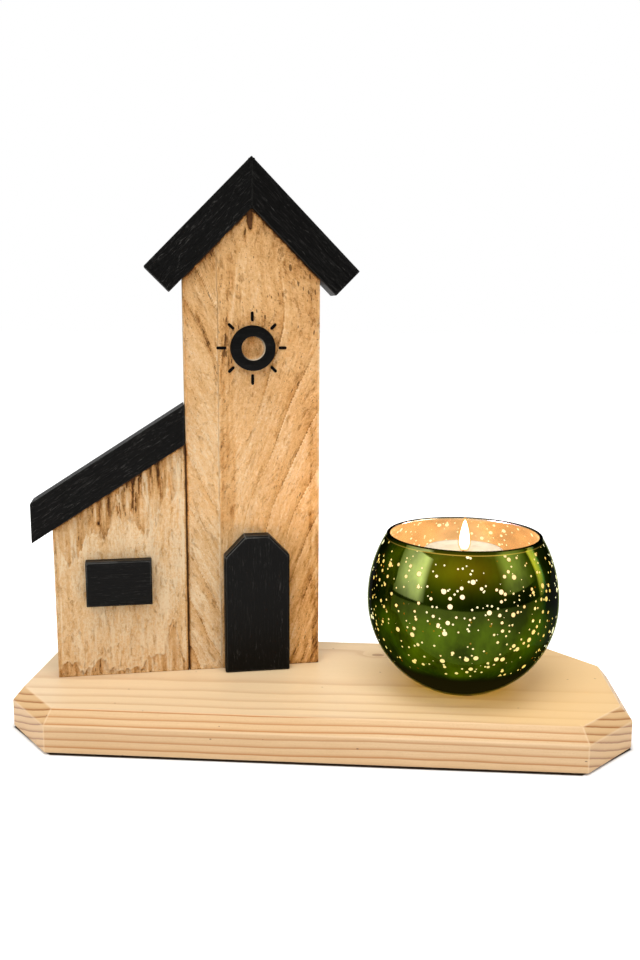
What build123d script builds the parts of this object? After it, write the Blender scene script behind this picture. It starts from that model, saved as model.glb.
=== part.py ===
"""Tealight house: a plank tower with a lean-to on a pine board, and a round glass candle bowl beside it.

Frame: millimetres, +X along the board, +Y towards the back, +Z up. The origin is on the table,
under the middle of the board. The house is set at an angle to the board, so its pieces are drawn
in the plane of its front: along the front from the lean-to's free corner, up from the board's top,
and out towards the viewer.
"""
from math import atan2, cos, radians, sin, tan
import os

from build123d import *

# Board
board_length = 300.0
board_depth = 112.5
board_thickness = 20.0
board_bevel_in = 5.4
board_bevel_down = 6.6
board_corner_along = 25.5
board_corner_across = 28.2
board_arris = 0.6

# Felt pads under the board
pad_diameter = 14.0
pad_thickness = 1.0
pad_inset_x = 44.0
pad_inset_y = 14.0

# Where the house stands
house_turn_deg = 14.1
house_from_left = 18.8
house_from_front = 42.1
plank_thickness = 13.0
plank_gap = 0.3

# Tower plank
tower_width = 67.4
tower_eaves = 198.2
tower_pitch_deg = 45.0
facet_width = 16.6
facet_drop = 0.9
plank_arris = 0.4

# Lean-to plank
lean_to_width = 65.3
lean_to_eaves = 76.6
lean_to_pitch_deg = 32.3

# Roof battens
roof_batten = 16.8
roof_proud = 2.5
tower_roof_over_left = 9.0
tower_roof_over_right = 10.9
lean_to_roof_over = 9.9
painted_arris = 0.6

# Door
door_width = 33.1
door_height = 71.6
door_shoulder = 61.0
door_clip = 10.3
door_thickness = 7.6
door_off_centre = 0.9

# Window panel
window_width = 32.3
window_height = 23.0
window_sill = 37.8
window_from_left = 15.3
window_thickness = 6.0

# Sun: a flat ring with burnt rays round it, over a shallow coned recess
sun_height = 165.0
ring_diameter = 22.2
ring_hole = 11.3
ring_thickness = 4.0
recess_depth = 1.2
recess_floor = 3.0
ray_spacing_deg = 45.0
ray_start = 12.9
ray_length = 4.4
ray_width = 1.5
ray_depth = 1.2
# How long each ray is, going round from the one towards the tower's right edge
ray_length_shares = (0.93, 0.86, 1.10, 0.88, 1.12, 0.92, 1.20, 0.90)

# Countersunk screws, up through the board into the planks
screw_shank = 3.5
screw_head = 7.0
screw_head_height = 2.6
screw_length = 40.0
screw_point = 5.0
screw_sink = 0.4
drive_width = 1.0
drive_depth = 1.5
drive_span = 4.2
hole_clearance = 0.1
# Where the two screws of a plank stand, across its width
screw_place_shares = (0.24, 0.76)

# Panel pins, square to each batten
pin_diameter = 1.4
pin_head = 2.4
pin_head_height = 0.8
pin_into_plank = 13.0
pin_clearance = 0.05
# Where the two pins of a batten stand, along the wall under it
pin_place_shares = (0.22, 0.66)

# Glass bowl
bowl_radius = 47.0
bowl_middle = 43.0
bowl_height = 76.2
bowl_rim_radius = 38.0
bowl_base_radius = 20.5
bowl_wall = 2.0
bowl_floor = 6.0
bowl_floor_radius = 23.0
bowl_punt = 1.6
bowl_punt_radius = 15.0
bowl_foot_round = 1.6
# How much of the board's free length beside the bowl is on the house's side
bowl_place_share = 0.4434

# Candle
candle_diameter = 39.0
candle_height = 62.2
candle_shoulder = 1.2
pool_margin = 2.2
pool_depth = 1.5
wick_diameter = 1.6
wick_stand = 4.6
wick_lean = 1.0
wick_straight = 2.2
tab_diameter = 13.0
tab_thickness = 0.4
tab_neck_diameter = 3.2
tab_neck_height = 4.0
candle_clearance = 0.05

# Derived places
over = board_thickness
board_top = pad_thickness + board_thickness
house_x = house_from_left - board_length / 2
house_y = house_from_front - board_depth / 2
turn = radians(house_turn_deg)
along_house = (cos(turn), sin(turn), 0)
out_of_house = (sin(turn), -cos(turn), 0)
tower_left = lean_to_width + plank_gap
tower_right = tower_left + tower_width
house_end = house_x + tower_right * cos(turn)
free_length = board_length / 2 - house_end - 2 * bowl_radius
bowl_x = house_end + bowl_place_share * free_length + bowl_radius
bowl_y = 0
tower_middle = (tower_left + tower_right) / 2
tower_rise = tower_width / 2 * tan(radians(tower_pitch_deg))
tower_apex = tower_eaves + tower_rise
lean_to_rise = lean_to_width * tan(radians(lean_to_pitch_deg))
roof_depth = plank_thickness + roof_proud
screw_bottom = pad_thickness + screw_sink
bowl_floor_z = board_top + bowl_floor


def front(out=0):
    """The plane of the house's front, moved out by a distance: X along the front, Y up."""
    return Plane(
        origin=(house_x + out * out_of_house[0], house_y + out * out_of_house[1], board_top),
        x_dir=along_house,
        z_dir=out_of_house,
    )


def mid_plank(along, up):
    """A point on the middle of the planks' thickness, given along the front and up from the board."""
    return front(-plank_thickness / 2).from_local_coords((along, up, 0))


def house_foot():
    """The plane of the board under the house: X along its front, Y back through the planks."""
    return Plane(origin=(house_x, house_y, board_top), x_dir=along_house, z_dir=(0, 0, 1))


def upright(at, height):
    """An upright plane through a centre line, for a revolved profile: X outwards, Y up."""
    return Plane(origin=(at[0], at[1], height), x_dir=(1, 0, 0), z_dir=(0, -1, 0))


def write(part, name):
    """Labels a finished piece and writes it."""
    part.label = name
    export_step(part, "parts/" + name + ".step")


os.makedirs("parts", exist_ok=True)


def screw_places():
    """The centre of each screw in plan, with the name of the plank that it holds."""
    planks = (("lean_to", 0, lean_to_width), ("tower", tower_left, tower_width))
    for plank, start, width in planks:
        for side, share in zip(("left", "right"), screw_place_shares):
            centre = mid_plank(start + share * width, 0)
            yield plank + "_screw_" + side, (centre.X, centre.Y)


# Board: eight sided, bevelled round its top edge, drilled and countersunk from below
half_length = board_length / 2
half_depth = board_depth / 2
with BuildPart() as plinth_board:
    with BuildSketch(Plane.XY.offset(pad_thickness)):
        with BuildLine():
            Polyline(
                (-half_length, -half_depth + board_corner_across),
                (-half_length + board_corner_along, -half_depth),
                (half_length - board_corner_along, -half_depth),
                (half_length, -half_depth + board_corner_across),
                (half_length, half_depth - board_corner_across),
                (half_length - board_corner_along, half_depth),
                (-half_length + board_corner_along, half_depth),
                (-half_length, half_depth - board_corner_across),
                close=True,
            )
        make_face()
    extrude(amount=board_thickness)
    board_face = plinth_board.faces().sort_by(Axis.Z)[-1]
    chamfer(board_face.edges(), board_bevel_in, board_bevel_down, reference=board_face)
    chamfer(plinth_board.faces().sort_by(Axis.Z)[0].edges(), board_arris)
    for _, (screw_x, screw_y) in screw_places():
        with BuildSketch(upright((screw_x, screw_y), screw_bottom)):
            with BuildLine():
                Polyline(
                    (0, -over),
                    (screw_head / 2 + hole_clearance, -over),
                    (screw_head / 2 + hole_clearance, 0),
                    (screw_shank / 2 + hole_clearance, screw_head_height),
                    (screw_shank / 2 + hole_clearance, board_thickness + over),
                    (0, board_thickness + over),
                    close=True,
                )
            make_face()
        revolve(axis=Axis((screw_x, screw_y, 0), (0, 0, 1)), mode=Mode.SUBTRACT)
write(plinth_board.part, "plinth_board")

# Felt pads
for side_x, side_y, pad_name in (
    (-1, -1, "felt_pad_front_left"),
    (1, -1, "felt_pad_front_right"),
    (-1, 1, "felt_pad_back_left"),
    (1, 1, "felt_pad_back_right"),
):
    pad_centre = Vector(side_x * (half_length - pad_inset_x), side_y * (half_depth - pad_inset_y))
    with BuildPart() as felt_pad:
        with BuildSketch(Plane(origin=pad_centre)):
            Circle(pad_diameter / 2)
        extrude(amount=pad_thickness)
    write(felt_pad.part, pad_name)


def pin_lines():
    """Each pin's name, its point on the joint between wall and batten, and the way up along it."""
    walls = (
        ("tower_roof_left", (tower_left, tower_eaves), (tower_middle, tower_apex)),
        ("tower_roof_right", (tower_right, tower_eaves), (tower_middle, tower_apex)),
        ("lean_to_roof", (0, lean_to_eaves), (lean_to_width, lean_to_eaves + lean_to_rise)),
    )
    for roof, low, high in walls:
        slope = atan2(high[1] - low[1], abs(high[0] - low[0]))
        side = 1 if high[0] < low[0] else -1
        way = (side * sin(slope), cos(slope))
        for place, share in zip(("low", "high"), pin_place_shares):
            point = (low[0] + share * (high[0] - low[0]), low[1] + share * (high[1] - low[1]))
            yield roof + "_pin_" + place, point, way


def pin_plane(point, way):
    """A plane through a pin's line, for a revolved profile: Y up along the pin."""
    return Plane(
        origin=mid_plank(point[0], point[1]),
        x_dir=front().x_dir * way[1] - front().y_dir * way[0],
        z_dir=out_of_house,
    )


def pin_outline(room):
    """Half of a pin with room left round it: its point, its shank, and its head let into the batten."""
    head_bottom = roof_batten - pin_head_height - room
    return (
        (0, -pin_into_plank - room),
        (pin_diameter / 2 + room, -pin_into_plank + pin_diameter),
        (pin_diameter / 2 + room, head_bottom),
        (pin_head / 2 + room, head_bottom),
        (pin_head / 2 + room, roof_batten),
        (0, roof_batten),
    )


# The blind holes in the planks' feet, which the screws bite in
screw_reach = screw_bottom + screw_length - board_top
with BuildPart() as screw_bores:
    for _, (screw_x, screw_y) in screw_places():
        with BuildSketch(upright((screw_x, screw_y), board_top)):
            with BuildLine():
                Polyline(
                    (0, -over),
                    (screw_shank / 2 + hole_clearance, -over),
                    (screw_shank / 2 + hole_clearance, screw_reach - screw_point),
                    (0, screw_reach + hole_clearance),
                    close=True,
                )
            make_face()
        revolve(axis=Axis((screw_x, screw_y, 0), (0, 0, 1)))

# The holes that the pins leave in battens and planks
with BuildPart() as pin_bores:
    for _, point, way in pin_lines():
        pin_line = pin_plane(point, way)
        with BuildSketch(pin_line):
            with BuildLine():
                Polyline(*pin_outline(pin_clearance), close=True)
            make_face()
        revolve(axis=Axis(pin_line.origin, pin_line.y_dir))

# Tower plank: a gable end, its left third planed back, with the sun's recess and rays in its face
with BuildPart() as tower_plank:
    with BuildSketch(front()):
        with BuildLine():
            Polyline(
                (tower_left, 0),
                (tower_right, 0),
                (tower_right, tower_eaves),
                (tower_middle, tower_apex),
                (tower_left, tower_eaves),
                close=True,
            )
        make_face()
    extrude(amount=-plank_thickness)
    chamfer(tower_plank.edges().filter_by(Axis.Z), plank_arris)
    with BuildSketch(house_foot()):
        with BuildLine():
            Polyline(
                (tower_left, 0),
                (tower_left + facet_width, 0),
                (tower_left, facet_drop),
                close=True,
            )
        make_face()
    extrude(amount=tower_apex, mode=Mode.SUBTRACT)
    with BuildSketch(front()):
        with Locations((tower_middle, sun_height)):
            Circle(ring_hole / 2)
    with BuildSketch(front(-recess_depth)):
        with Locations((tower_middle, sun_height)):
            Circle(recess_floor / 2)
    loft(mode=Mode.SUBTRACT)
    for number, share in enumerate(ray_length_shares):
        length = share * ray_length
        with BuildSketch(front()):
            with Locations((tower_middle, sun_height)):
                with PolarLocations(ray_start + length / 2, 1, start_angle=number * ray_spacing_deg):
                    SlotOverall(length, ray_width)
        extrude(amount=-ray_depth, mode=Mode.SUBTRACT)
    add(screw_bores.part, mode=Mode.SUBTRACT)
    add(pin_bores.part, mode=Mode.SUBTRACT)
write(tower_plank.part, "tower_plank")

# Lean-to plank
with BuildPart() as lean_to_plank:
    with BuildSketch(front()):
        with BuildLine():
            Polyline(
                (0, 0),
                (lean_to_width, 0),
                (lean_to_width, lean_to_eaves + lean_to_rise),
                (0, lean_to_eaves),
                close=True,
            )
        make_face()
    extrude(amount=-plank_thickness)
    chamfer(lean_to_plank.edges().filter_by(Axis.Z), plank_arris)
    add(screw_bores.part, mode=Mode.SUBTRACT)
    add(pin_bores.part, mode=Mode.SUBTRACT)
write(lean_to_plank.part, "lean_to_plank")


def ease_front(block):
    """Takes the sharp edge off the front of a painted piece."""
    facing = block.faces().sort_by(Axis((0, 0, 0), out_of_house))[-1]
    chamfer(facing.edges(), painted_arris)


# Tower roof: two battens mitred at the ridge, standing proud of the plank's face
pitch = radians(tower_pitch_deg)
ridge_top = tower_apex + roof_batten / cos(pitch)
for side, overhang, batten_name in (
    (-1, tower_roof_over_left, "tower_roof_left"),
    (1, tower_roof_over_right, "tower_roof_right"),
):
    low_along = tower_middle + side * (tower_width / 2 + overhang * cos(pitch))
    low_up = tower_eaves - overhang * sin(pitch)
    with BuildPart() as tower_roof:
        with BuildSketch(front(roof_proud)):
            with BuildLine():
                Polyline(
                    (tower_middle, tower_apex),
                    (low_along, low_up),
                    (low_along + side * roof_batten * sin(pitch), low_up + roof_batten * cos(pitch)),
                    (tower_middle, ridge_top),
                    close=True,
                )
            make_face()
        extrude(amount=-roof_depth)
        ease_front(tower_roof)
        add(pin_bores.part, mode=Mode.SUBTRACT)
    write(tower_roof.part, batten_name)

# Lean-to roof: one batten, cut plumb at both ends
lean_slope = tan(radians(lean_to_pitch_deg))
lean_depth_up = roof_batten / cos(radians(lean_to_pitch_deg))
with BuildPart() as lean_to_roof:
    with BuildSketch(front(roof_proud)):
        with BuildLine():
            Polyline(
                (-lean_to_roof_over, lean_to_eaves - lean_to_roof_over * lean_slope),
                (lean_to_width, lean_to_eaves + lean_to_rise),
                (lean_to_width, lean_to_eaves + lean_to_rise + lean_depth_up),
                (
                    -lean_to_roof_over,
                    lean_to_eaves - lean_to_roof_over * lean_slope + lean_depth_up,
                ),
                close=True,
            )
        make_face()
    extrude(amount=-roof_depth)
    ease_front(lean_to_roof)
    add(pin_bores.part, mode=Mode.SUBTRACT)
write(lean_to_roof.part, "lean_to_roof")

# Panel pins
for pin_name, point, way in pin_lines():
    pin_line = pin_plane(point, way)
    with BuildPart() as panel_pin:
        with BuildSketch(pin_line):
            with BuildLine():
                Polyline(*pin_outline(0), close=True)
            make_face()
        revolve(axis=Axis(pin_line.origin, pin_line.y_dir))
    write(panel_pin.part, pin_name)

# Door: a plaque with two clipped corners, standing on the board against the tower
door_left = tower_middle + door_off_centre - door_width / 2
door_right = door_left + door_width
with BuildPart() as door:
    with BuildSketch(front()):
        with BuildLine():
            Polyline(
                (door_left, 0),
                (door_right, 0),
                (door_right, door_shoulder),
                (door_right - door_clip, door_height),
                (door_left + door_clip, door_height),
                (door_left, door_shoulder),
                close=True,
            )
        make_face()
    extrude(amount=door_thickness)
    ease_front(door)
write(door.part, "door")

# Window panel
with BuildPart() as window_panel:
    with BuildSketch(front()):
        with Locations((window_from_left + window_width / 2, window_sill + window_height / 2)):
            Rectangle(window_width, window_height)
    extrude(amount=window_thickness)
    ease_front(window_panel)
write(window_panel.part, "window_panel")

# Sun ring
with BuildPart() as sun_ring:
    with BuildSketch(front()):
        with Locations((tower_middle, sun_height)):
            Circle(ring_diameter / 2)
            Circle(ring_hole / 2, mode=Mode.SUBTRACT)
    extrude(amount=ring_thickness)
    ease_front(sun_ring)
write(sun_ring.part, "sun_ring")

# Countersunk screws with a cross recess in the head
for screw_name, (screw_x, screw_y) in screw_places():
    with BuildPart() as wood_screw:
        with BuildSketch(upright((screw_x, screw_y), screw_bottom)):
            with BuildLine():
                Polyline(
                    (0, 0),
                    (screw_head / 2, 0),
                    (screw_shank / 2, screw_head_height),
                    (screw_shank / 2, screw_length - screw_point),
                    (0, screw_length),
                    close=True,
                )
            make_face()
        revolve(axis=Axis((screw_x, screw_y, 0), (0, 0, 1)))
        with BuildSketch(Plane(origin=(screw_x, screw_y, screw_bottom))):
            Rectangle(drive_span, drive_width)
            Rectangle(drive_width, drive_span)
        extrude(amount=drive_depth, mode=Mode.SUBTRACT)
    write(wood_screw.part, screw_name)

# Glass bowl: blown thick in the foot, its underside pushed in and its rim melted round
bowl_line = upright((bowl_x, bowl_y), board_top)
inner_radius = bowl_radius - bowl_wall
lip_inside = bowl_rim_radius - bowl_wall
lip_height = bowl_height - bowl_wall / 2
with BuildPart() as glass_bowl:
    with BuildSketch(bowl_line):
        with BuildLine():
            Line((0, bowl_punt), (0, bowl_floor))
            Line((0, bowl_floor), (bowl_floor_radius, bowl_floor))
            TangentArc((inner_radius, bowl_middle), (bowl_floor_radius, bowl_floor), tangent=(0, -1))
            TangentArc((inner_radius, bowl_middle), (lip_inside, lip_height), tangent=(0, 1))
            ThreePointArc(
                (lip_inside, lip_height),
                (bowl_rim_radius - bowl_wall / 2, bowl_height),
                (bowl_rim_radius, lip_height),
            )
            TangentArc((bowl_radius, bowl_middle), (bowl_rim_radius, lip_height), tangent=(0, 1))
            TangentArc((bowl_radius, bowl_middle), (bowl_base_radius, 0), tangent=(0, -1))
            Line((bowl_base_radius, 0), (bowl_punt_radius, 0))
            TangentArc((0, bowl_punt), (bowl_punt_radius, 0), tangent=(1, 0))
        make_face()
    revolve(axis=Axis((bowl_x, bowl_y, 0), (0, 0, 1)))
    foot_edge = glass_bowl.edges().group_by(Axis.Z)[0].sort_by(SortBy.RADIUS)[-1]
    fillet(foot_edge, bowl_foot_round)
write(glass_bowl.part, "glass_bowl")

# Candle: wax with a melted pool, on a pressed steel wick tab
candle_line = upright((bowl_x, bowl_y), bowl_floor_z)
candle_axis = Axis((bowl_x, bowl_y, 0), (0, 0, 1))
candle_radius = candle_diameter / 2
pool_radius = candle_radius - pool_margin
wick_room = wick_diameter / 2 + candle_clearance
tab_room = tab_diameter / 2 + candle_clearance
neck_room = tab_neck_diameter / 2 + candle_clearance
neck_top = tab_neck_height + candle_clearance
with BuildPart() as candle_wax:
    with BuildSketch(candle_line):
        with BuildLine():
            Polyline(
                (wick_room, candle_height - pool_depth),
                (wick_room, neck_top),
                (neck_room, neck_top),
                (neck_room, tab_thickness + candle_clearance),
                (tab_room, tab_thickness + candle_clearance),
                (tab_room, 0),
                (candle_radius, 0),
                (candle_radius, candle_height - candle_shoulder),
            )
            TangentArc(
                (candle_radius, candle_height - candle_shoulder),
                (candle_radius - candle_shoulder, candle_height),
                tangent=(0, 1),
            )
            Line((candle_radius - candle_shoulder, candle_height), (pool_radius, candle_height))
            TangentArc(
                (wick_room, candle_height - pool_depth), (pool_radius, candle_height), tangent=(1, 0)
            )
        make_face()
    revolve(axis=candle_axis)
write(candle_wax.part, "candle_wax")

with BuildPart() as wick_tab:
    with BuildSketch(candle_line):
        with BuildLine():
            Polyline(
                (0, 0),
                (tab_diameter / 2, 0),
                (tab_diameter / 2, tab_thickness),
                (tab_neck_diameter / 2, tab_thickness),
                (tab_neck_diameter / 2, tab_neck_height),
                (wick_room, tab_neck_height),
                (wick_room, tab_thickness),
                (0, tab_thickness),
                close=True,
            )
        make_face()
    revolve(axis=candle_axis)
write(wick_tab.part, "wick_tab")

# Wick: straight up through the wax, then leaning over where it burns
wick_root = bowl_floor_z + tab_thickness
wax_top = bowl_floor_z + candle_height - pool_depth
with BuildPart() as candle_wick:
    with BuildLine() as wick_path:
        rise = Line((bowl_x, bowl_y, wick_root), (bowl_x, bowl_y, wax_top + wick_straight))
        TangentArc(
            rise @ 1, (bowl_x + wick_lean, bowl_y, wax_top + wick_stand), tangent=rise % 1
        )
    with BuildSketch(Plane(origin=(bowl_x, bowl_y, wick_root))):
        Circle(wick_diameter / 2)
    sweep(path=wick_path.wire())
write(candle_wick.part, "candle_wick")
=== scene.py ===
"""Tealight house: the looks of the plank house, its pine board and the speckled glass bowl.

Lengths are millimetres on the way in and metres in Blender. The house's pieces are worked out in
the plane of its front: along the front from the lean-to's free corner, up from the board's top, and
out towards the viewer.
"""

import bpy
from mathutils import Matrix, Vector
import numpy as np


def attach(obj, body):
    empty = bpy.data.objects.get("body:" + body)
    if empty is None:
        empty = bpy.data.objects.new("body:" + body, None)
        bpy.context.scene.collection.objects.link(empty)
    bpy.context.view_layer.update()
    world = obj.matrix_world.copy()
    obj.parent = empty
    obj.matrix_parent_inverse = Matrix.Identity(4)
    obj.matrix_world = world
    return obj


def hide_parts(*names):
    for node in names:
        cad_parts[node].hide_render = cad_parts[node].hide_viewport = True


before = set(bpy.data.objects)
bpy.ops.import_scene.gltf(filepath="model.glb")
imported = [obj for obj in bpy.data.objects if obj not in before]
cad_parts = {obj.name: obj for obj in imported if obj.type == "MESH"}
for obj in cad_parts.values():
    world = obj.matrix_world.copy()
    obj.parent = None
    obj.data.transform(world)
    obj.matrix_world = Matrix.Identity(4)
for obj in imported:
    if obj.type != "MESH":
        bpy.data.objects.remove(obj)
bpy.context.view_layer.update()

MM = 0.001

# The board
board_length = 300.0
board_depth = 112.5
board_bottom = 1.0
board_top = 21.0
bevel_in = 5.4
bevel_down = 6.6
pith_back = 14.0
pith_height = 151.3
knot_at = (29.1, 32.1, 21.0)
corner_along = 25.5
corner_across = 28.2

# The house on the board
house_turn = np.radians(14.1)
house_corner = (-131.2, -14.15)
plank_thickness = 13.0
lean_width = 65.3
lean_eaves = 76.6
lean_slope = np.tan(np.radians(32.3))
tower_left = 65.6
tower_width = 67.4
tower_right = tower_left + tower_width
tower_middle = tower_left + tower_width / 2
tower_eaves = 198.2
tower_apex = tower_eaves + tower_width / 2
facet_width = 16.6
facet_drop = 0.9
sun_height = 165.0
batten = 16.8
batten_proud = 2.5
over_left = 9.0
over_right = 10.9
lean_over = 9.9

# The plaques, the sun and its rays
door_width = 33.1
door_height = 71.6
door_shoulder = 61.0
door_clip = 10.3
door_thickness = 7.6
door_off_middle = 0.9
window_left = 15.3
window_right = 47.6
window_sill = 37.8
window_head = 60.8
window_thickness = 6.0
ring_outside = 11.1
ring_middle = 8.4
ring_inside = 5.65
ring_thickness = 4.0
ray_start = 12.9
ray_length = 4.4
ray_half_width = 0.75
ray_root = 0.6
# Each ray's length as a share of ray_length, going round from the one towards the tower's right edge
ray_shares = (0.93, 0.86, 1.10, 0.88, 1.12, 0.92, 1.20, 0.90)

# The bowl and its candle
bowl_middle_x = 70.6
bowl_belly = 47.0
bowl_belly_height = 43.0
bowl_wall = 2.0
bowl_lip_radius = 37.0
bowl_lip_height = 75.2
bowl_floor_radius = 23.0
bowl_floor = 6.0
bowl_foot_radius = 20.9
bowl_foot_height = 0.6
candle_foot = 27.0
candle_radius = 19.5
candle_height = 62.2
candle_shoulder = 17.4
pool_edge = (14.0, 60.9)
pool_bottom = 60.7
wick_foot = 84.0
wick_length = 8.2
wick_radius = 0.8
wick_lean = 1.0
flame_foot = 87.8
flame_height = 17.6
flame_radius = 3.7
core_foot = 88.3
core_height = 15.6
core_radius = 2.7
flame_aside = 0.3


# Shapes

def soft_noise(x, y, seed):
    """Value noise from -1 to 1: random lattice values, blended by a smooth cubic between them."""
    table = np.random.default_rng(seed).uniform(-1, 1, (64, 64))
    x_cell, y_cell = np.floor(x).astype(int), np.floor(y).astype(int)
    x_part, y_part = x - x_cell, y - y_cell
    x_part = x_part * x_part * (3 - 2 * x_part)
    y_part = y_part * y_part * (3 - 2 * y_part)
    left, right = x_cell % 64, (x_cell + 1) % 64
    low, high = y_cell % 64, (y_cell + 1) % 64
    below = table[left, low] * (1 - x_part) + table[right, low] * x_part
    above = table[left, high] * (1 - x_part) + table[right, high] * x_part
    return below * (1 - y_part) + above * y_part


def layered_noise(x, y, seed, layers=4):
    """Sum of soft noises, each twice as fine and half as strong as the one before."""
    total = np.zeros_like(x)
    for layer in range(layers):
        total += soft_noise(x * 2**layer, y * 2**layer, seed + layer) / 2**layer
    return total


def smooth(low, high, value):
    """0 below low, 1 above high, and a smooth cubic between."""
    share = np.clip((value - low) / (high - low), 0, 1)
    return share * share * (3 - 2 * share)


def spot(x, y, at_x, at_y, half_x, half_y):
    """A bell over an ellipse: 1 at its centre, fading to nothing about twice its half sizes away."""
    return np.exp(-(((x - at_x) / half_x) ** 2) - ((y - at_y) / half_y) ** 2)


def fall(distance, reach):
    """A bell over a line: 1 at no distance, and 1/e at the reach on either side."""
    return np.exp(-((distance / reach) ** 2))


def unit(vector):
    """The vector at a length of 1."""
    return vector / np.linalg.norm(vector)


def inset(loop, distance):
    """Moves each corner of an anticlockwise outline inwards along its mitre."""
    before = loop - np.roll(loop, 1, 0)
    after = np.roll(loop, -1, 0) - loop
    before /= np.linalg.norm(before, axis=1)[:, None]
    after /= np.linalg.norm(after, axis=1)[:, None]
    normal_before = np.stack([-before[:, 1], before[:, 0]], 1)
    normal_after = np.stack([-after[:, 1], after[:, 0]], 1)
    lean = 1 + (normal_before * normal_after).sum(1)
    return loop + distance * (normal_before + normal_after) / lean[:, None]


def rounded(line, radius, steps=4, fills=None):
    """Turns each inner corner of a line into a quadratic curve that starts and ends one radius away.
    fills gives how many parts each straight run between corners has. Returns the points, and a bend
    that is 1 in the middle of each curve and 0 at its ends and on straight runs."""
    runs, bends = [], []
    start = line[0]
    for k in range(1, len(line)):
        corner = line[k]
        last = k == len(line) - 1
        stop = corner if last else corner + radius * unit(line[k - 1] - corner)
        parts = 1 if fills is None else fills[k - 1]
        share = np.linspace(0, 1, parts, endpoint=False)[:, None]
        runs.append(start * (1 - share) + stop * share)
        bends.append(np.zeros(parts))
        if not last:
            leave = corner + radius * unit(line[k + 1] - corner)
            share = np.linspace(0, 1, steps, endpoint=False)[:, None]
            runs.append((1 - share) ** 2 * stop + 2 * share * (1 - share) * corner + share**2 * leave)
            bends.append(np.sin(np.pi * share[:, 0]))
            start = leave
    runs.append(line[-1:])
    bends.append(np.zeros(1))
    return np.vstack(runs), np.concatenate(bends)


def side_chains(bottom, top, reach):
    """Lower and upper edge of a face, each carried round onto its upright sides by a short reach."""
    bottom, top = np.array(bottom, float), np.array(top, float)
    up_first = reach * unit(top[0] - bottom[0])
    up_last = reach * unit(top[-1] - bottom[-1])
    low = [bottom[0] + up_first, *bottom, bottom[-1] + up_last]
    high = [top[0] - up_first, *top, top[-1] - up_last]
    return np.array(low), np.array(high)


def face_points(chains, distance, corner, fills, rows):
    """A grid over a face whose outline is moved in by a distance: columns run from the lower edge
    to the upper one, and each point is a share of the way up its column."""
    low, high = chains
    loop = inset(np.vstack([low, high[::-1]]), distance)
    low_line, bend = rounded(loop[: len(low)], corner, fills=fills)
    high_line, _ = rounded(loop[len(low):][::-1], corner, fills=fills)
    share = np.linspace(0, 1, rows)[None, :, None]
    points = low_line[:, None, :] * (1 - share) + high_line[:, None, :] * share
    return points, np.repeat(bend[:, None], rows, 1)


def rim(grid):
    """The outer points of a grid, once round."""
    return np.concatenate([grid[:, 0], grid[-1, 1:], grid[-2::-1, -1], grid[0, -2:0:-1]])


def block(chains, profile, corner, spacing, relief=False, up_spacing=None):
    """A solid with a gridded front and back: the outline is carried along a profile of (distance in,
    height out), and both ends are closed by grids. Returns its points as (u, v, out), its faces,
    which points are on the front grid, how far each point is on a rounded edge, and which faces
    are shaded softly: the narrow ones of the rounded edges, and the front where it has a relief.
    The grids have one spacing along the edges and may have another one up their columns."""
    low, high = chains
    line, profile_bend = profile
    lengths = [np.linalg.norm(np.diff(edge, axis=0), axis=1) for edge in (low, high)]
    fills = [max(1, int(round(length / spacing))) for length in np.maximum(*lengths)]
    middle = len(low) // 2
    column = np.linalg.norm(high[middle] - low[middle])
    rows = max(3, int(round(column / (up_spacing or spacing))) + 1)
    front, plan_bend = face_points(chains, line[0][0], corner, fills, rows)
    wide, tall = front.shape[:2]
    order = np.arange(wide * tall).reshape(wide, tall)
    around = rim(order)
    count = len(around)
    layers = [np.column_stack([front.reshape(-1, 2), np.full(wide * tall, line[0][1])])]
    edges = [np.zeros(wide * tall)]
    for (distance, out), bend in zip(line[1:-1], profile_bend[1:-1]):
        ring = rim(face_points(chains, distance, corner, fills, rows)[0])
        layers.append(np.column_stack([ring, np.full(count, out)]))
        corner_bend = rim(plan_bend) * ((rim(order) % tall == 0) | (rim(order) % tall == tall - 1))
        edges.append(np.maximum(bend, corner_bend))
    back, _ = face_points(chains, line[-1][0], corner, fills, rows)
    layers.append(np.column_stack([back.reshape(-1, 2), np.full(wide * tall, line[-1][1])]))
    edges.append(np.zeros(wide * tall))
    points = np.vstack(layers)
    loops = [around]
    for k in range(len(line) - 2):
        loops.append(wide * tall + k * count + np.arange(count))
    back_start = wide * tall + (len(line) - 2) * count
    loops.append(back_start + around)
    cells = np.stack([order[:-1, :-1], order[1:, :-1], order[1:, 1:], order[:-1, 1:]], -1).reshape(-1, 4)
    faces = [cells, back_start + cells[:, ::-1]]
    soft = [np.full(len(cells), relief), np.zeros(len(cells), bool)]
    for upper, lower in zip(loops[:-1], loops[1:]):
        band = np.stack([upper, lower, np.roll(lower, -1), np.roll(upper, -1)], 1)
        down = np.linalg.norm(points[band[:, 1]] - points[band[:, 0]], axis=1)
        along = np.linalg.norm(points[band[:, 3]] - points[band[:, 0]], axis=1)
        faces.append(band)
        soft.append(np.minimum(down, along) < 0.45)
    on_front = np.zeros(len(points), bool)
    on_front[: wide * tall] = True
    return points, np.vstack(faces), on_front, np.concatenate(edges), np.concatenate(soft)


def turned(profile, count, closed=False):
    """A profile of (radius, height) turned once round: rings of count points, with a single point
    where the profile meets the axis. A closed profile joins its last ring to its first."""
    angle = np.arange(count) * 2 * np.pi / count
    rings, points, start = [], [], 0
    for radius, height in profile:
        if radius < 1e-6:
            points.append([[0, 0, height]])
            rings.append(np.full(count, start))
            start += 1
        else:
            ring = [radius * np.cos(angle), radius * np.sin(angle), np.full(count, height)]
            points.append(np.column_stack(ring))
            rings.append(start + np.arange(count))
            start += count
    if closed:
        rings.append(rings[0])
    quads = []
    for lower, upper in zip(rings[:-1], rings[1:]):
        quads.append(np.stack([lower, np.roll(lower, -1), np.roll(upper, -1), upper], 1))
    return np.vstack(points), np.vstack(quads)


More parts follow.
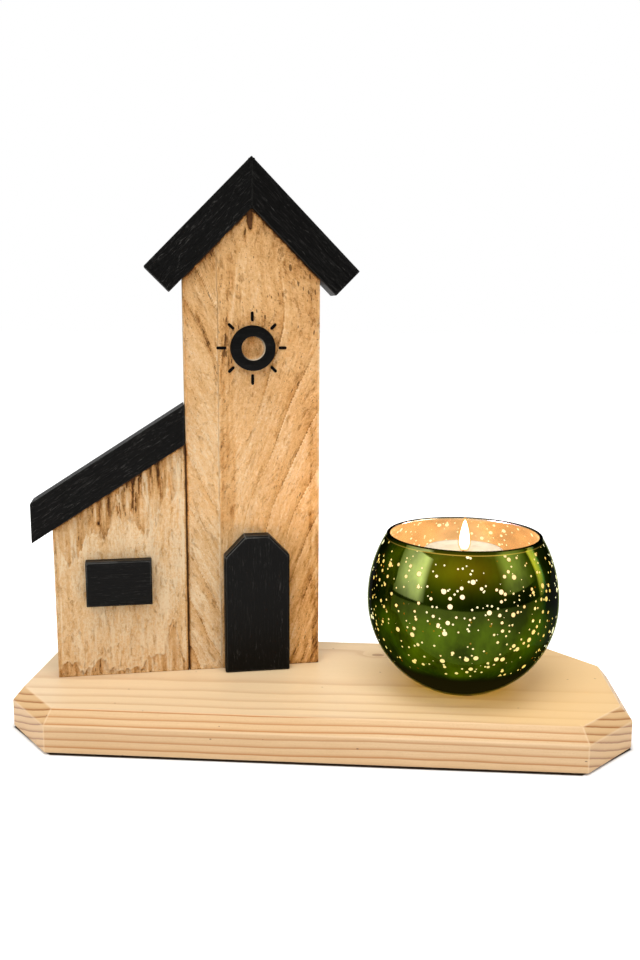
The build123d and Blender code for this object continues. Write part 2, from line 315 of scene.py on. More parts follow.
def closed_stack(layers, count):
    """Faces of a stack of equal rings: walls between them, then a fan to a point at the foot and one
    at the tip, which come after the rings' own points."""
    around = np.arange(count)
    after = np.roll(around, -1)
    faces = []
    for layer in range(layers - 1):
        wall = np.stack([around, after, after + count, around + count], 1)
        faces.append(wall + layer * count)
    last = (layers - 1) * count
    foot = np.full(count, layers * count)
    tip = foot + 1
    faces.append(np.stack([after, around, foot, foot], 1))
    faces.append(np.stack([around + last, after + last, tip, tip], 1))
    return np.vstack(faces)


def in_house(points):
    """From (along, up, out) on the house's front to (x, y, z)."""
    along, up, out = points.T
    x = house_corner[0] + along * np.cos(house_turn) + out * np.sin(house_turn)
    y = house_corner[1] + along * np.sin(house_turn) - out * np.cos(house_turn)
    return np.column_stack([x, y, board_top + up])


def make_piece(name, points, faces, finish, body, replaces=(), soft=True, values=None):
    """Puts points in millimetres and faces of four corners into a mesh, drops repeated corners,
    turns the faces outwards by the sign of the volume that they hold, and rides it on its body.
    soft says which faces are shaded softly, and values gives each point's numbers by name."""
    points = np.asarray(points, float) * MM
    corners = points[faces]
    spread = np.cross(corners[:, 2] - corners[:, 0], corners[:, 3] - corners[:, 1])
    volume = (corners.mean(1) * spread).sum()
    if volume < 0:
        faces = faces[:, ::-1]
    cells = []
    for face in faces.tolist():
        kept = [face[k] for k in range(4) if face[k] != face[k - 1]]
        if len(kept) > 2:
            cells.append(kept)
    mesh = bpy.data.meshes.new(name)
    mesh.from_pydata(points.tolist(), [], cells)
    mesh.polygons.foreach_set("use_smooth", np.broadcast_to(soft, len(cells)).tolist())
    for key, value in (values or {}).items():
        value = np.asarray(value, np.float32)
        kind, channel = ("FLOAT", "value") if value.ndim == 1 else ("FLOAT_VECTOR", "vector")
        mesh.attributes.new(key, kind, "POINT").data.foreach_set(channel, value.ravel())
    mesh.materials.append(finish)
    mesh.update()
    piece = bpy.data.objects.new(name, mesh)
    bpy.context.scene.collection.objects.link(piece)
    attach(piece, body)
    if replaces:
        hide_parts(*replaces)


# Finishes

# Plain words for the inputs that only some solid surfaces set
socket_names = {
    "gloss": "Specular IOR Level", "metallic": "Metallic",
    "light": "Emission Color", "strength": "Emission Strength",
}


def arithmetic(operation, swapped=False):
    """A method that adds a math node, with its two numbers swapped where the output comes second."""

    def method(self, other=0.0):
        """The new node's result."""
        pair = (other, self) if swapped else (self, other)
        return math(self.add, operation, *pair)

    return method


class Output:
    """A node's output. Arithmetic and comparisons with it add the math nodes that do them."""

    __add__ = arithmetic("ADD")
    __radd__ = arithmetic("ADD", swapped=True)
    __sub__ = arithmetic("SUBTRACT")
    __rsub__ = arithmetic("SUBTRACT", swapped=True)
    __mul__ = arithmetic("MULTIPLY")
    __rmul__ = arithmetic("MULTIPLY", swapped=True)
    __truediv__ = arithmetic("DIVIDE")
    __pow__ = arithmetic("POWER")
    __lt__ = arithmetic("LESS_THAN")
    __gt__ = arithmetic("GREATER_THAN")
    __abs__ = arithmetic("ABSOLUTE")

    def __init__(self, add, socket):
        self.add = add
        self.socket = socket


def node_adder(tree):
    """Empties a node tree, and gives a function that adds a node to it and returns one of its
    outputs. Inputs are given by name or number, and a value that is an output is linked."""
    tree.nodes.clear()

    def add(kind, given=None, out=0, **settings):
        """Adds one node, with its inputs and settings."""
        node = tree.nodes.new("ShaderNode" + kind)
        for key, value in settings.items():
            setattr(node, key, value)
        for socket, value in (given or {}).items():
            if isinstance(value, Output):
                tree.links.new(value.socket, node.inputs[socket])
            else:
                node.inputs[socket].default_value = value
        return Output(add, node.outputs[out]) if node.outputs else None

    return add


def new_finish(name):
    """An empty node material, and the function that adds nodes to it."""
    finish = bpy.data.materials.new(name)
    finish.use_nodes = True
    return finish, node_adder(finish.node_tree)


def close_finish(add, shader):
    """Makes a shader the finish's surface."""
    add("OutputMaterial", {"Surface": shader})


def close_solid(add, colour, roughness, relief, **given):
    """Closes a finish with a solid surface that has a relief of (height, strength, depth in metres)."""
    height, strength, depth = relief
    bump = add("Bump", {"Height": height, "Strength": strength, "Distance": depth})
    sockets = {"Base Color": colour, "Roughness": roughness, "Normal": bump}
    for name, value in given.items():
        sockets[socket_names[name]] = value
    close_finish(add, add("BsdfPrincipled", sockets))


def math(add, operation, first, second=0.0):
    """One step of arithmetic on numbers or outputs."""
    return add("Math", {0: first, 1: second}, operation=operation)


def larger(add, first, second):
    """The larger of both."""
    return math(add, "MAXIMUM", first, second)


def clamped(add, value):
    """The value held between 0 and 1."""
    return add("Clamp", {"Value": value})


def axis(add, place, which):
    """A place's X, Y or Z."""
    return add("SeparateXYZ", {0: place}, out=which)


def bell(add, distance, reach):
    """1 at no distance, and 1/e at the reach on either side."""
    share = (distance / reach) ** 2.0
    return math(add, "EXPONENT", share * -1.0)


def remap(add, value, low, high, at_low=0.0, at_high=1.0):
    """Runs straight from one number at low to another at high, and holds them beyond."""
    given = {"Value": value, "From Min": low, "From Max": high, "To Min": at_low, "To Max": at_high}
    return add("MapRange", given)


def point_value(add, name):
    """A number that each point carries by name."""
    return add("Attribute", attribute_name=name, out="Fac")


def object_space(add):
    """The place on the piece in metres, on its own axes."""
    return add("TexCoord", out="Object")


def grey(level):
    """A colour with the same level in red, green and blue."""
    return (level, level, level)


def ramp(add, factor, stops):
    """A colour ramp from (place, colour) stops, straight between them."""
    given = add("ValToRGB", {"Fac": factor})
    band = given.socket.node.color_ramp
    while len(band.elements) < len(stops):
        band.elements.new(0.5)
    for element, (place, colour) in zip(band.elements, stops):
        element.position = place
        element.color = (*colour, 1.0)
    return given


def overlaid(add, colour, *layers):
    """A colour with tints laid over it one after another, each at its own share."""
    for share, tint in layers:
        colour = blend(add, share, colour, tint)
    return colour


def blend(add, factor, first, second, kind="MIX"):
    """Two colours blended. A plain mix is the first at a factor of 0 and the second at 1, and other
    kinds bring the second in by that factor."""
    colours = [value if isinstance(value, Output) else (*value, 1.0) for value in (first, second)]
    given = {"Factor": factor, 6: colours[0], 7: colours[1]}
    return add("Mix", given, out=2, data_type="RGBA", blend_type=kind)


def house_space(add, slope=0.0):
    """Object coordinates in millimetres, turned with the house: X along its front, Y back, Z up.
    A slope turns X up along a batten."""
    turn_back = {"Rotation": (0, 0, -house_turn), "Scale": (1000, 1000, 1000)}
    place = add("Mapping", {"Vector": object_space(add), **turn_back})
    if not slope:
        return place
    return add("Mapping", {"Vector": place, "Rotation": (0, slope, 0)})


def stretched(add, place, scale, offset=(0, 0, 0)):
    """A place with each axis multiplied by its own scale, and then moved by its offset."""
    return add("Mapping", {"Vector": place, "Scale": scale, "Location": offset})


def length(add, vector):
    """How long a vector is."""
    return add("VectorMath", {0: vector}, operation="LENGTH", out="Value")


def noise(add, place, stretch, detail=3.0, roughness=0.5):
    """Noise over a place whose axes are first multiplied by a stretch."""
    texture = {"Scale": 1.0, "Detail": detail, "Roughness": roughness}
    return add("TexNoise", {"Vector": stretched(add, place, stretch), **texture})


def spots(add, place, stretch):
    """How far each point is from the nearest of many scattered ones."""
    place = stretched(add, place, stretch)
    return add("TexVoronoi", {"Vector": place, "Scale": 1.0}, out="Distance")


def see_through(add, red, green, blue):
    """A clear surface that tints what is behind it."""
    return add("BsdfTransparent", {"Color": (red, green, blue, 1)})


def glow(add, colour, strength):
    """A surface that gives off light."""
    return add("Emission", {"Color": colour, "Strength": strength})


def mixed(add, share, first, second):
    """Two surfaces mixed: the first at a share of 0, the second at 1."""
    return add("MixShader", {0: share, 1: first, 2: second})


def plank_finish(name):
    """Rough sawn pale wood. The tone attribute carries saw bands, tears and smudges, together with
    painted shade and painted highlights, and flow gives (across, along, deep) the fibres in
    millimetres, for streaks, torn chips, cracks and pores. Cracks crowd where the tone is dark."""
    finish, add = new_finish(name)
    flow = add("Attribute", attribute_name="flow", out="Vector")
    given = point_value(add, "tone")
    fibre = noise(add, flow, (1.5, 0.22, 1.5), 5.0, 0.70)
    streak = noise(add, flow, (0.45, 0.035, 0.45), 4.0, 0.60)
    cloud = noise(add, flow, (0.10, 0.045, 0.10), 4.0, 0.60)
    mottle = noise(add, flow, (0.85, 0.55, 0.85), 6.0, 0.78)
    grit = noise(add, flow, (2.3, 1.7, 2.3), 3.0, 0.75)
    chips = noise(add, flow, (0.40, 0.12, 0.40), 6.0, 0.70)
    chip = remap(add, chips, 0.585, 0.60)
    lip = remap(add, chips, 0.565, 0.585) - chip
    tone = given
    for grain, strength in ((fibre, 0.46), (streak, 0.42), (cloud, 0.46), (mottle, 0.86), (grit, 0.44)):
        tone = tone + (grain - 0.5) * strength
    tone = tone + lip * 0.07 - chip * 0.16
    colour = ramp(add, tone, (
        (0.0, (0.050, 0.022, 0.009)), (0.22, (0.33, 0.145, 0.042)), (0.45, (0.61, 0.315, 0.108)),
        (0.65, (0.78, 0.462, 0.200)), (0.82, (0.87, 0.580, 0.305)), (1.0, (0.95, 0.730, 0.47)),
    ))
    where = noise(add, flow, (0.085, 0.05, 0.085), 2.0)
    crowd = (where - 0.5) * 0.55 + 0.50 - given * 0.62
    cracked = spots(add, flow, (0.62, 0.15, 0.62)) < crowd * 0.85
    pored = spots(add, flow, (0.80, 0.62, 0.80)) < crowd * 0.45 + 0.10
    colour = overlaid(
        add, colour,
        (pored * 0.62, (0.25, 0.10, 0.033)),
        (cracked * 0.8, (0.11, 0.044, 0.014)),
    )
    relief = fibre * 0.7 + mottle * 0.9 + grit * 0.35 - chip * 0.40 - cracked * 0.4
    close_solid(add, colour, 0.8, (relief, 1.0, 0.0012), gloss=0.15)
    return finish


def pine_finish(name):
    """Planed pine: year rings 3.4 mm apart round a pith line above the board, cut by every face, so
    that the faces agree at their edges. Rings darken slowly and end sharply. A knot pushes them
    apart. The top face is painted paler as painted light from above, and orange towards its right
    end as painted candle light. The edge attribute gives paler edges: partly rubbed wear, partly a
    painted highlight."""
    finish, add = new_finish(name)
    place = stretched(add, object_space(add), (1000, 1000, 1000))
    wander = noise(add, place, (0.0045, 0.012, 0.012), 2.0)
    ripple = noise(add, place, (0.022, 0.10, 0.10), 3.0)
    knot_stretch = (0.55, 1.0, 0.4)
    knot_off = [-stretch * at for stretch, at in zip(knot_stretch, knot_at)]
    knot_far = length(add, stretched(add, place, knot_stretch, knot_off))
    knot = bell(add, knot_far, 4.5)
    radius = length(add, stretched(add, place, (0, 1, 1), (0, -pith_back, -pith_height)))
    rings = (radius + wander * 5.0 + ripple * 1.1 + knot * 2.8) / 3.4
    line = ramp(add, math(add, "FRACT", rings), (
        (0.0, grey(0.0)), (0.50, grey(0.08)), (0.72, grey(0.42)),
        (0.85, grey(1.0)), (0.95, grey(0.9)), (1.0, grey(0.0)),
    ))
    own = add("TexWhiteNoise", {"W": math(add, "FLOOR", rings)}, noise_dimensions="1D", out="Value")
    fibre = noise(add, place, (0.05, 2.4, 2.4), 4.0, 0.65)
    fine = noise(add, place, (0.9, 2.6, 2.6), 3.0, 0.7)
    patch = noise(add, place, (0.008, 0.05, 0.05), 2.0)
    pale = ramp(add, patch, ((0.3, (0.61, 0.405, 0.210)), (0.7, (0.68, 0.475, 0.270))))
    facing = add("NewGeometry", out="True Normal")
    end_grain = remap(add, abs(axis(add, facing, "X")), 0.4, 0.6, 0.0, 0.70)
    # The top face is painted paler: painted light from above. Towards its right end it turns orange:
    # painted candle light.
    painted_top_light = remap(add, axis(add, facing, "Z"), 0.85, 0.98, 0.0, 0.38)
    painted_candle_light_on_top = painted_top_light * remap(add, axis(add, place, "X"), 60.0, 115.0, 0.0, 1.7)
    core = ripple * 1.5 + knot_far < 2.6
    speck = spots(add, place, (0.06, 0.12, 0.12)) < 0.036
    colour = overlaid(
        add, pale,
        (line * (own * 0.45 + 0.55), (0.37, 0.125, 0.015)),
        (clamped(add, fibre * 0.9 - 0.36), (0.50, 0.275, 0.11)),
        (clamped(add, fine * 0.8 - 0.36), (0.44, 0.245, 0.105)),
        (painted_top_light, (0.83, 0.70, 0.48)),
        (painted_candle_light_on_top, (0.70, 0.44, 0.17)),
        (end_grain, blend(add, line, (0.68, 0.43, 0.20), (0.31, 0.125, 0.036))),
        (core * 0.70, (0.22, 0.10, 0.045)),
        (knot * 0.30, (0.50, 0.28, 0.13)),
        (speck * 0.75, (0.12, 0.055, 0.03)),
        # Paler edges: partly rubbed wear, partly a painted highlight.
        (point_value(add, "edge") * 0.35, (0.82, 0.62, 0.40)),
    )
    close_solid(add, colour, 0.45, ((fibre + line) * 0.6, 0.3, 0.00025), gloss=0.4)
    return finish


def black_finish(name, slope=0.0, wrinkle=0.5, upright=False, scratches=0.5, edge_wear_and_highlight=0.15):
    """Matte black paint over wood: the grain shows as ridges along the piece and as thin wrinkles,
    where a stretched noise crosses its middle. The wrinkles are painted paler, as painted highlights
    on their ridges; pale rubs lie in patches; and the edges are paler, partly from wear and partly
    as painted highlights. A point value paints the sun ring's inner rim in pale wood colour, a
    painted highlight."""
    finish, add = new_finish(name)
    place = house_space(add, slope)
    sway = add("TexNoise", {"Vector": place, "Scale": 0.11, "Detail": 2.0}, out="Color")
    bend = 1.5 + 1.5 * wrinkle
    bent = add("VectorMath", {0: place, 1: stretched(add, sway, (bend, bend, bend))}, operation="ADD")
    scales = ((0.05, 0.85, 0.85), (0.16, 2.1, 2.1), (0.022, 0.42, 0.42))
    if upright:
        scales = [(across, across, along) for along, across, _ in scales]
    ridge = noise(add, bent, scales[0], 4.0, 0.6)
    fine = noise(add, bent, scales[1], 4.0, 0.7)
    crossing = noise(add, bent, scales[2], 3.0, 0.62)
    # The wrinkles are painted paler: painted highlights on their ridges.
    line = remap(add, abs(crossing - 0.5), 0.022, 0.005) * remap(add, fine, 0.45, 0.60) * wrinkle
    patch = remap(add, noise(add, place, (0.13, 0.13, 0.13), 2.0), 0.40, 0.6)
    rub = remap(add, fine, 0.62, 0.66) * patch * scratches
    # Paler edges: partly wear, partly a painted highlight.
    worn_and_highlit_edge = point_value(add, "edge") * clamped(add, (fine * 1.6 - 0.25) * edge_wear_and_highlight)
    colour = overlaid(
        add, ramp(add, fine, ((0.3, (0.0012, 0.0011, 0.0010)), (0.7, (0.0034, 0.0032, 0.0028)))),
        (line, (0.058, 0.056, 0.053)),
        (rub, (0.085, 0.082, 0.076)),
        (worn_and_highlit_edge, (0.115, 0.112, 0.105)),
        # The sun ring's inner rim in pale wood colour: a painted highlight.
        (point_value(add, "painted_rim_highlight"), (0.62, 0.50, 0.35)),
    )
    relief = fine * 0.4 + line * 0.3 + ridge
    close_solid(add, colour, fine * 0.3 + 0.28, (relief, wrinkle, 0.0014), gloss=0.10)
    return finish


def glass_finish(name):
    """Green glass over a silvered coat: outside a deep green mirror that darkens towards its
    outline, inside a warm one. The coat has small round gaps. Each wall's coat acts on light that
    meets its own side, and lets light from within the wall pass, so a gap looks the same both ways.
    The candle's light is painted on as glow: green on the outside with a painted dark band across
    it, a painted halo below the rim and a painted gold line at the coat's top, warm on the inside,
    and in the gaps. A dark band at the foot is painted shade."""
    finish, add = new_finish(name)
    place = object_space(add)
    centre = (-bowl_middle_x * MM, 0, -(board_top + bowl_belly_height) * MM)
    from_centre = stretched(add, place, (1, 1, 1), centre)
    away = add("VectorMath", {0: from_centre}, operation="NORMALIZE")
    height = axis(add, from_centre, "Z")
    coat_foot, coat_top = -0.0262, 0.0312
    # Round gaps of three sizes: how closely they stand, and their radius as a share of the bowl's
    gap_kinds = ((7.0, 0.0240), (10.0, 0.0165), (15.0, 0.0105))
    gaps, rings = None, None
    for scale, size in gap_kinds:
        far = add("TexVoronoi", {"Vector": away, "Scale": scale, "Randomness": 1.0}, out="Distance")
        gap = far < size * scale
        ring = far < (size + 0.003 * (size > 0.012)) * scale
        gaps = gap if gaps is None else larger(add, gaps, gap)
        rings = ring if rings is None else larger(add, rings, ring)
    zone = (height > coat_foot) * (height < coat_top)
    gaps = gaps * zone
    rings = rings * zone
    # A band at the foot is painted darker, as painted shade of the shadowed board that it reflects, and
    # the glass is darker above the coat's top.
    foot = remap(add, height, -0.0300, -0.0255)
    rim_dark = remap(add, height, 0.0330, coat_top, 0.2)
    shade = foot * rim_dark
    facing = add("LayerWeight", {"Blend": 0.5}, out="Facing")
    squarely = 1.0 - facing
    swirl = larger(add, noise(add, place, (60, 60, 32), 4.0, 0.6) * 4.5 - 1.3, 0.25)
    mirror = ramp(add, facing, (
        (0.0, (0.020, 0.027, 0.0028)), (0.45, (0.019, 0.026, 0.0028)), (0.75, (0.012, 0.016, 0.0014)),
        (1.0, (0.005, 0.0065, 0.0002)),
    ))
    mirror = blend(add, 1.0, mirror, swirl * 0.6 + 0.45, "MULTIPLY")
    # In those bands the mirror turns dark olive: painted shade.
    mirror = blend(add, shade, (0.013, 0.0125, 0.0012), mirror)
    # A dark band across the glow just above the middle: a painted dark reflection.
    upper = remap(add, height, -0.002, 0.005) - remap(add, height, 0.010, 0.022, 0.0, 0.45)
    # The candle's light through the coat is painted on as a green glow, strongest where the outside faces
    # squarely.
    body = ramp(add, squarely, ((0.0, grey(0.0)), (0.3, grey(0.16)), (0.65, grey(1.0))))
    body = body * shade * (1.0 - upper * 0.82) * swirl
    # A painted halo of the flame's light below the rim.
    painted_flame_halo = bell(add, height - 0.026, 0.0075) * squarely**10.0
    through = blend(add, 1.0, (0.032, 0.060, 0.0001), body, "MULTIPLY")
    warm = blend(add, 1.0, (0.13, 0.080, 0.0005), painted_flame_halo * rim_dark, "MULTIPLY")
    through = blend(add, 1.0, through, warm, "ADD")
    # A painted gold line at the coat's top, and a faint painted glow in the foot band.
    line = (height > coat_top) * (height < coat_top + 0.0004) * squarely**2.0
    through = overlaid(add, through, (1.0 - foot, (0.0085, 0.0070, 0.0008)), (line, (0.55, 0.33, 0.05)))
    outer = add("BsdfPrincipled", {
        "Base Color": mirror, "Metallic": 1.0, "Roughness": 0.06, "Specular Tint": (0.15, 0.18, 0.01, 1),
        "Coat Weight": 0.02, "Coat Roughness": 0.02, "Coat IOR": 1.5,
        "Emission Color": through, "Emission Strength": 1.0,
    })
    silvering = noise(add, place, (45, 45, 70), 3.0, 0.5)
    silver = ramp(add, silvering, (
        (0.35, (0.55, 0.38, 0.23)), (0.5, (0.74, 0.55, 0.35)), (0.65, (0.86, 0.69, 0.48)),
    ))
    # The inside glows warm: painted candle light on the silvering.
    inner = add("BsdfPrincipled", {
        "Base Color": silver, "Metallic": 1.0, "Roughness": 0.20,
        "Emission Color": (1.0, 0.62, 0.25, 1), "Emission Strength": 0.32,
    })
    clear = see_through(add, 1.0, 0.98, 0.84)
    # The gaps glow: painted candle light seen through them.
    lit = glow(add, blend(add, squarely**3.0, (0.93, 0.93, 0.16), (1.6, 1.5, 1.0)), 1.2)
    gap_seen = mixed(add, 0.5, clear, lit)
    amber = see_through(add, 0.85, 0.42, 0.02)
    ringed = mixed(add, rings * 0.25, outer, amber)
    outer_coat = mixed(add, gaps, ringed, gap_seen)
    tinted = see_through(add, 0.82, 0.72, 0.36)
    inner_coat = mixed(add, gaps, inner, tinted)
    coat = mixed(add, point_value(add, "inner"), outer_coat, inner_coat)
    from_behind = add("NewGeometry", out="Backfacing")
    close_finish(add, mixed(add, from_behind, coat, see_through(add, 1, 1, 1)))
    return finish


def wax_finish(name):
    """Cream wax lit through by its own flame: its side glows brightest high up, and its top round
    the wick."""
    finish, add = new_finish(name)
    place = object_space(add)
    height = axis(add, place, "Z")
    share = remap(add, height, candle_foot * MM, (candle_foot + candle_height + 0.3) * MM)
    radius = length(add, stretched(add, place, (1000, 1000, 0), (-bowl_middle_x, 0, 0)))
    warmth = ramp(add, share, (
        (0.0, (0.75, 0.50, 0.12)), (0.2, (1.0, 0.76, 0.30)), (0.4, (1.0, 0.93, 0.74)),
        (0.93, (1.0, 0.96, 0.84)), (0.955, (1.0, 0.88, 0.62)),
    ))
    mottle = noise(add, place, (300, 300, 300), 3.0)
    colour = ramp(add, mottle, ((0.3, (0.66, 0.565, 0.41)), (0.7, (0.72, 0.63, 0.47))))
    side = ramp(add, share, ((0.0, grey(0.5)), (0.35, grey(1.0)), (0.93, grey(1.0)), (0.955, grey(0.0))))
    strength = side * 0.35 + bell(add, radius, 9.0) * 0.12
    close_solid(add, colour, 0.35, (mottle, 0.1, 0.0003), light=warmth, strength=strength)
    return finish


def flame_finish(name):
    """A candle flame: a core that is dim and reddish at its root, white through the middle and
    yellow at the tip, in a thin orange veil. The core attribute is 1 on the core."""
    finish, add = new_finish(name)
    height = axis(add, object_space(add), "Z")
    share = remap(add, height, flame_foot * MM, (flame_foot + flame_height) * MM)
    colour = ramp(add, share, (
        (0.0, (1.0, 0.42, 0.12)), (0.16, (1.0, 0.80, 0.50)), (0.4, (1.0, 0.95, 0.82)),
        (0.85, (1.0, 0.90, 0.66)), (1.0, (1.0, 0.70, 0.32)),
    ))
    strength = ramp(add, share, ((0.0, grey(0.12)), (0.2, grey(0.7)), (0.5, grey(1.0)), (1.0, grey(0.6))))
    core = glow(add, colour, strength * 10.0)
    veil = mixed(add, 0.30, see_through(add, 1, 1, 1), glow(add, (1.0, 0.48, 0.10, 1), 1.1))
    close_finish(add, mixed(add, point_value(add, "core"), veil, core))
    return finish


def plain_finish(name, colour, roughness, metallic=0.0, grain=900.0, amount=0.3, depth=0.0001, gloss=0.5):
    """A small part's finish: one colour with a fine mottle, and the same mottle in its relief."""
    finish, add = new_finish(name)
    place = object_space(add)
    mottle = noise(add, place, (grain, grain, grain), 4.0, 0.6)
    dark = tuple(share * 0.7 for share in colour)
    pale = tuple(min(1.0, share * 1.2) for share in colour)
    tint = ramp(add, mottle, ((0.3, dark), (0.7, pale)))
    rough = mottle * 0.2 + (roughness - 0.1)
    close_solid(add, tint, rough, (mottle, amount, depth), metallic=metallic, gloss=gloss)
    return finish


# The board

half_length = board_length / 2
half_depth = board_depth / 2
board_chains = side_chains(
    [(-half_length, -half_depth + corner_across), (-half_length + corner_along, -half_depth),
     (half_length - corner_along, -half_depth), (half_length, -half_depth + corner_across)],
    [(-half_length, half_depth - corner_across), (-half_length + corner_along, half_depth),
     (half_length - corner_along, half_depth), (half_length, half_depth - corner_across)],
    4.0,
)
board_profile = rounded(np.array([
    (bevel_in + 3.0, board_top), (bevel_in, board_top), (0.0, board_top - bevel_down),
    (0.0, board_bottom), (3.0, board_bottom),
]), 0.7)
points, faces, _, edges, soft = block(board_chains, board_profile, 0.7, 3.0)
make_piece("pine_board", points, faces, pine_finish("planed_pine"), "house", ["plinth_board"],
           soft, {"edge": edges})


# The planks

def tower_flow(along, up):
    """Across and along the tower's streaks: on the strip smoothed with a plane they run down to the
    right, on the rest of the front up to the right, more so towards the right and less towards the top."""
    x = along - tower_left
    bend = 2.5 * layered_noise(x / 32, up / 60, 11, 2)
    left = np.stack([(x + 0.48 * up) * 0.9, (up - 0.48 * x) * 0.9], 1)
    lean = (0.22 + 0.005 * x) * (1 - 0.55 * smooth(130, 215, up))
    right = np.stack([(x - lean * (up - 110)) * 0.93 + bend, up * 0.93 + 0.35 * x], 1)
    return np.where((x < facet_width)[:, None], left, right)


def lean_flow(along, up):
    """Across and along the lean-to's fibres, which stand nearly upright."""
    return np.stack([along + 0.7 * layered_noise(along / 9, up / 25, 37, 2), up], 1)


def tower_steps(along, up):
    """The saw's steps across the tower's front, as a sawtooth that rises to 1 at each step's foot:
    down to the right on the strip smoothed with a plane, and up to the right on the rest."""
    x = along - tower_left
    flow = tower_flow(along, up)
    left = (x + 0.48 * up + 0.8 * soft_noise(x / 9, up / 9, 10)) / 12.2 - 0.55
    right = (flow[:, 0] + 1.5 * soft_noise(flow[:, 1] / 30, x / 50, 9)) / 13.5 + 0.2
    steps = np.where(x < facet_width, left, right)
    return steps - np.floor(steps), np.floor(steps)


# Dark smudges on the tower: how dark, then the middle and half sizes, across and up
tower_smudges = (
    (2.2, 32.8, 227.0, 1.0, 3.4),
    (0.7, 33.2, 222.6, 0.8, 1.2),
    (0.5, 30.4, 219.5, 0.6, 3.0),
    (0.24, 54.5, 202.5, 5.5, 4.5),
    (0.10, 22.0, 197.0, 5.0, 14.0),
)


def tower_tone(along, up):
    """How pale the tower's front is: saw steps, each painted darker towards its foot with a painted
    shadow line there and a painted highlight just past it; painted shade beside the crease and a
    painted highlight along it; darker towards the top and to the right; painted shade low down by
    the right edge; smudges; a dark streak at the apex; painted shade under the roof battens; a
    rubbed zone round the sun; painted shade in the sun's recess and a painted highlight on its rim;
    a paler foot with painted shade right of the door; a painted candle highlight along the right
    edge; and painted shade along the foot and in the gap beside the lean-to."""
    x = along - tower_left
    flow = tower_flow(along, up)
    part, number = tower_steps(along, up)
    own = soft_noise(number * 0.73, np.full_like(x, 0.5), 12)
    on_strip = smooth(facet_width + 0.4, facet_width - 0.2, x)
    strength = on_strip + (1 - on_strip) * smooth(24, 34, x) * smooth(214, 185, up)
    fade = 0.65 + 0.5 * soft_noise(up / 24, x / 12, 13)
    # Saw steps, each painted darker towards its foot: painted shade.
    tone = 0.80 + 0.04 * own * strength - 0.24 * part**3 * fade * strength
    # Darker towards the top and to the right.
    tone -= 0.11 * smooth(115, 170, up) + 0.05 * smooth(18, 40, x)
    # A painted shadow line at each step's foot, and a painted highlight just past it.
    tone -= 0.30 * fall(1 - part, 0.026) * fade * strength
    tone += 0.19 * fall(part, 0.030) * fade * strength
    # Painted shade beside the crease.
    crease = smooth(facet_width + 0.2, facet_width + 0.9, x) * smooth(196, 150, up)
    crease = crease * smooth(25.5, 22.0, x + 1.5 * soft_noise(x / 3, up / 14, 8))
    tone -= crease * (0.18 + 0.15 * layered_noise(x / 1.3, up / 16, 7, 4))
    # A painted highlight along the crease.
    tone += 0.16 * fall(x - facet_width + 0.4, 0.45)
    # Painted shade low down by the right edge.
    edge = smooth(57, 66, x) * smooth(150, 120, up)
    tone -= edge * (0.13 + 0.22 * layered_noise(x / 1.5, up / 13, 6, 4))
    # Painted shade under the roof battens.
    roof_line = tower_eaves + np.minimum(x, tower_width - x) - up
    ragged = 0.5 + 0.7 * layered_noise(x / 2, up / 9, 16, 3)
    tone -= 0.30 * fall(roof_line, 3.0) * ragged + 0.10 * fall(roof_line, 14.0)
    tone -= 0.45 * fall(roof_line, 0.9)
    for depth, *oval in tower_smudges:
        tone -= depth * spot(x, up, *oval)
    crest = fall(x - 20.5 - 0.12 * (up - 175), 1.3) * smooth(135, 160, up) * smooth(212, 196, up)
    tone -= 0.26 * crest * (0.7 + layered_noise(x / 0.9, up / 6, 38, 3))
    tone += 0.16 * fall(x - 23.2 - 0.12 * (up - 175), 0.8) * smooth(150, 170, up) * smooth(214, 200, up)
    seam = fall(x - 8.5 + 0.42 * (up - 176), 1.0) * smooth(160, 166, up) * smooth(188, 180, up)
    tone -= 0.30 * seam * (0.6 + layered_noise(x / 1.1, up / 5, 5, 3))
    far = np.hypot(x - tower_width / 2, up - sun_height)
    rubbed = smooth(16.6, 15.4, far + 1.2 * soft_noise(x / 4, up / 4, 17))
    rubbed = rubbed * smooth(-4, 2, (up - sun_height) - (x - tower_width / 2) * 0.9 - 1)
    tone -= rubbed * (0.07 + 0.04 * np.sin(x * 4.1 + 1.2 * soft_noise(x, up / 9, 18)))
    # Painted shade in the sun's recess, in three sectors, and a painted highlight on its rim.
    inside = smooth(6.4, 5.4, far)
    round_sun = np.arctan2(up - sun_height, x - tower_width / 2)
    tone = tone * (1 - inside) + inside * (0.60 + 0.08 * np.sin(3 * round_sun))
    tone += 0.30 * fall(far - 5.2, 0.4) * smooth(-0.5, 0.6, np.cos(round_sun + 0.6))
    # A paler foot, with painted shade to the right of the door.
    low = smooth(90, 30, up)
    painted_door_shade = 0.17 + 0.20 * layered_noise(flow[:, 0] / 2.0, flow[:, 1] / 12, 36, 4)
    tone += low * (0.05 - painted_door_shade * smooth(49, 53, x))
    # A painted highlight of the candle's light along the right edge.
    from_right = tower_width - x + 0.5 * soft_noise(up / 4, x / 9, 24)
    tone += 0.26 * smooth(1.5, 0.4, from_right) * smooth(60, 85, up)
    # Painted shade along the foot, and in the gap beside the lean-to.
    tone -= 0.16 * fall(up, 1.6) + 0.14 * fall(x, 0.8) * layered_noise(x, up / 3, 39, 3)
    tone -= 1.0 * fall(x, 0.45) * smooth(119, 117, up)
    return tone


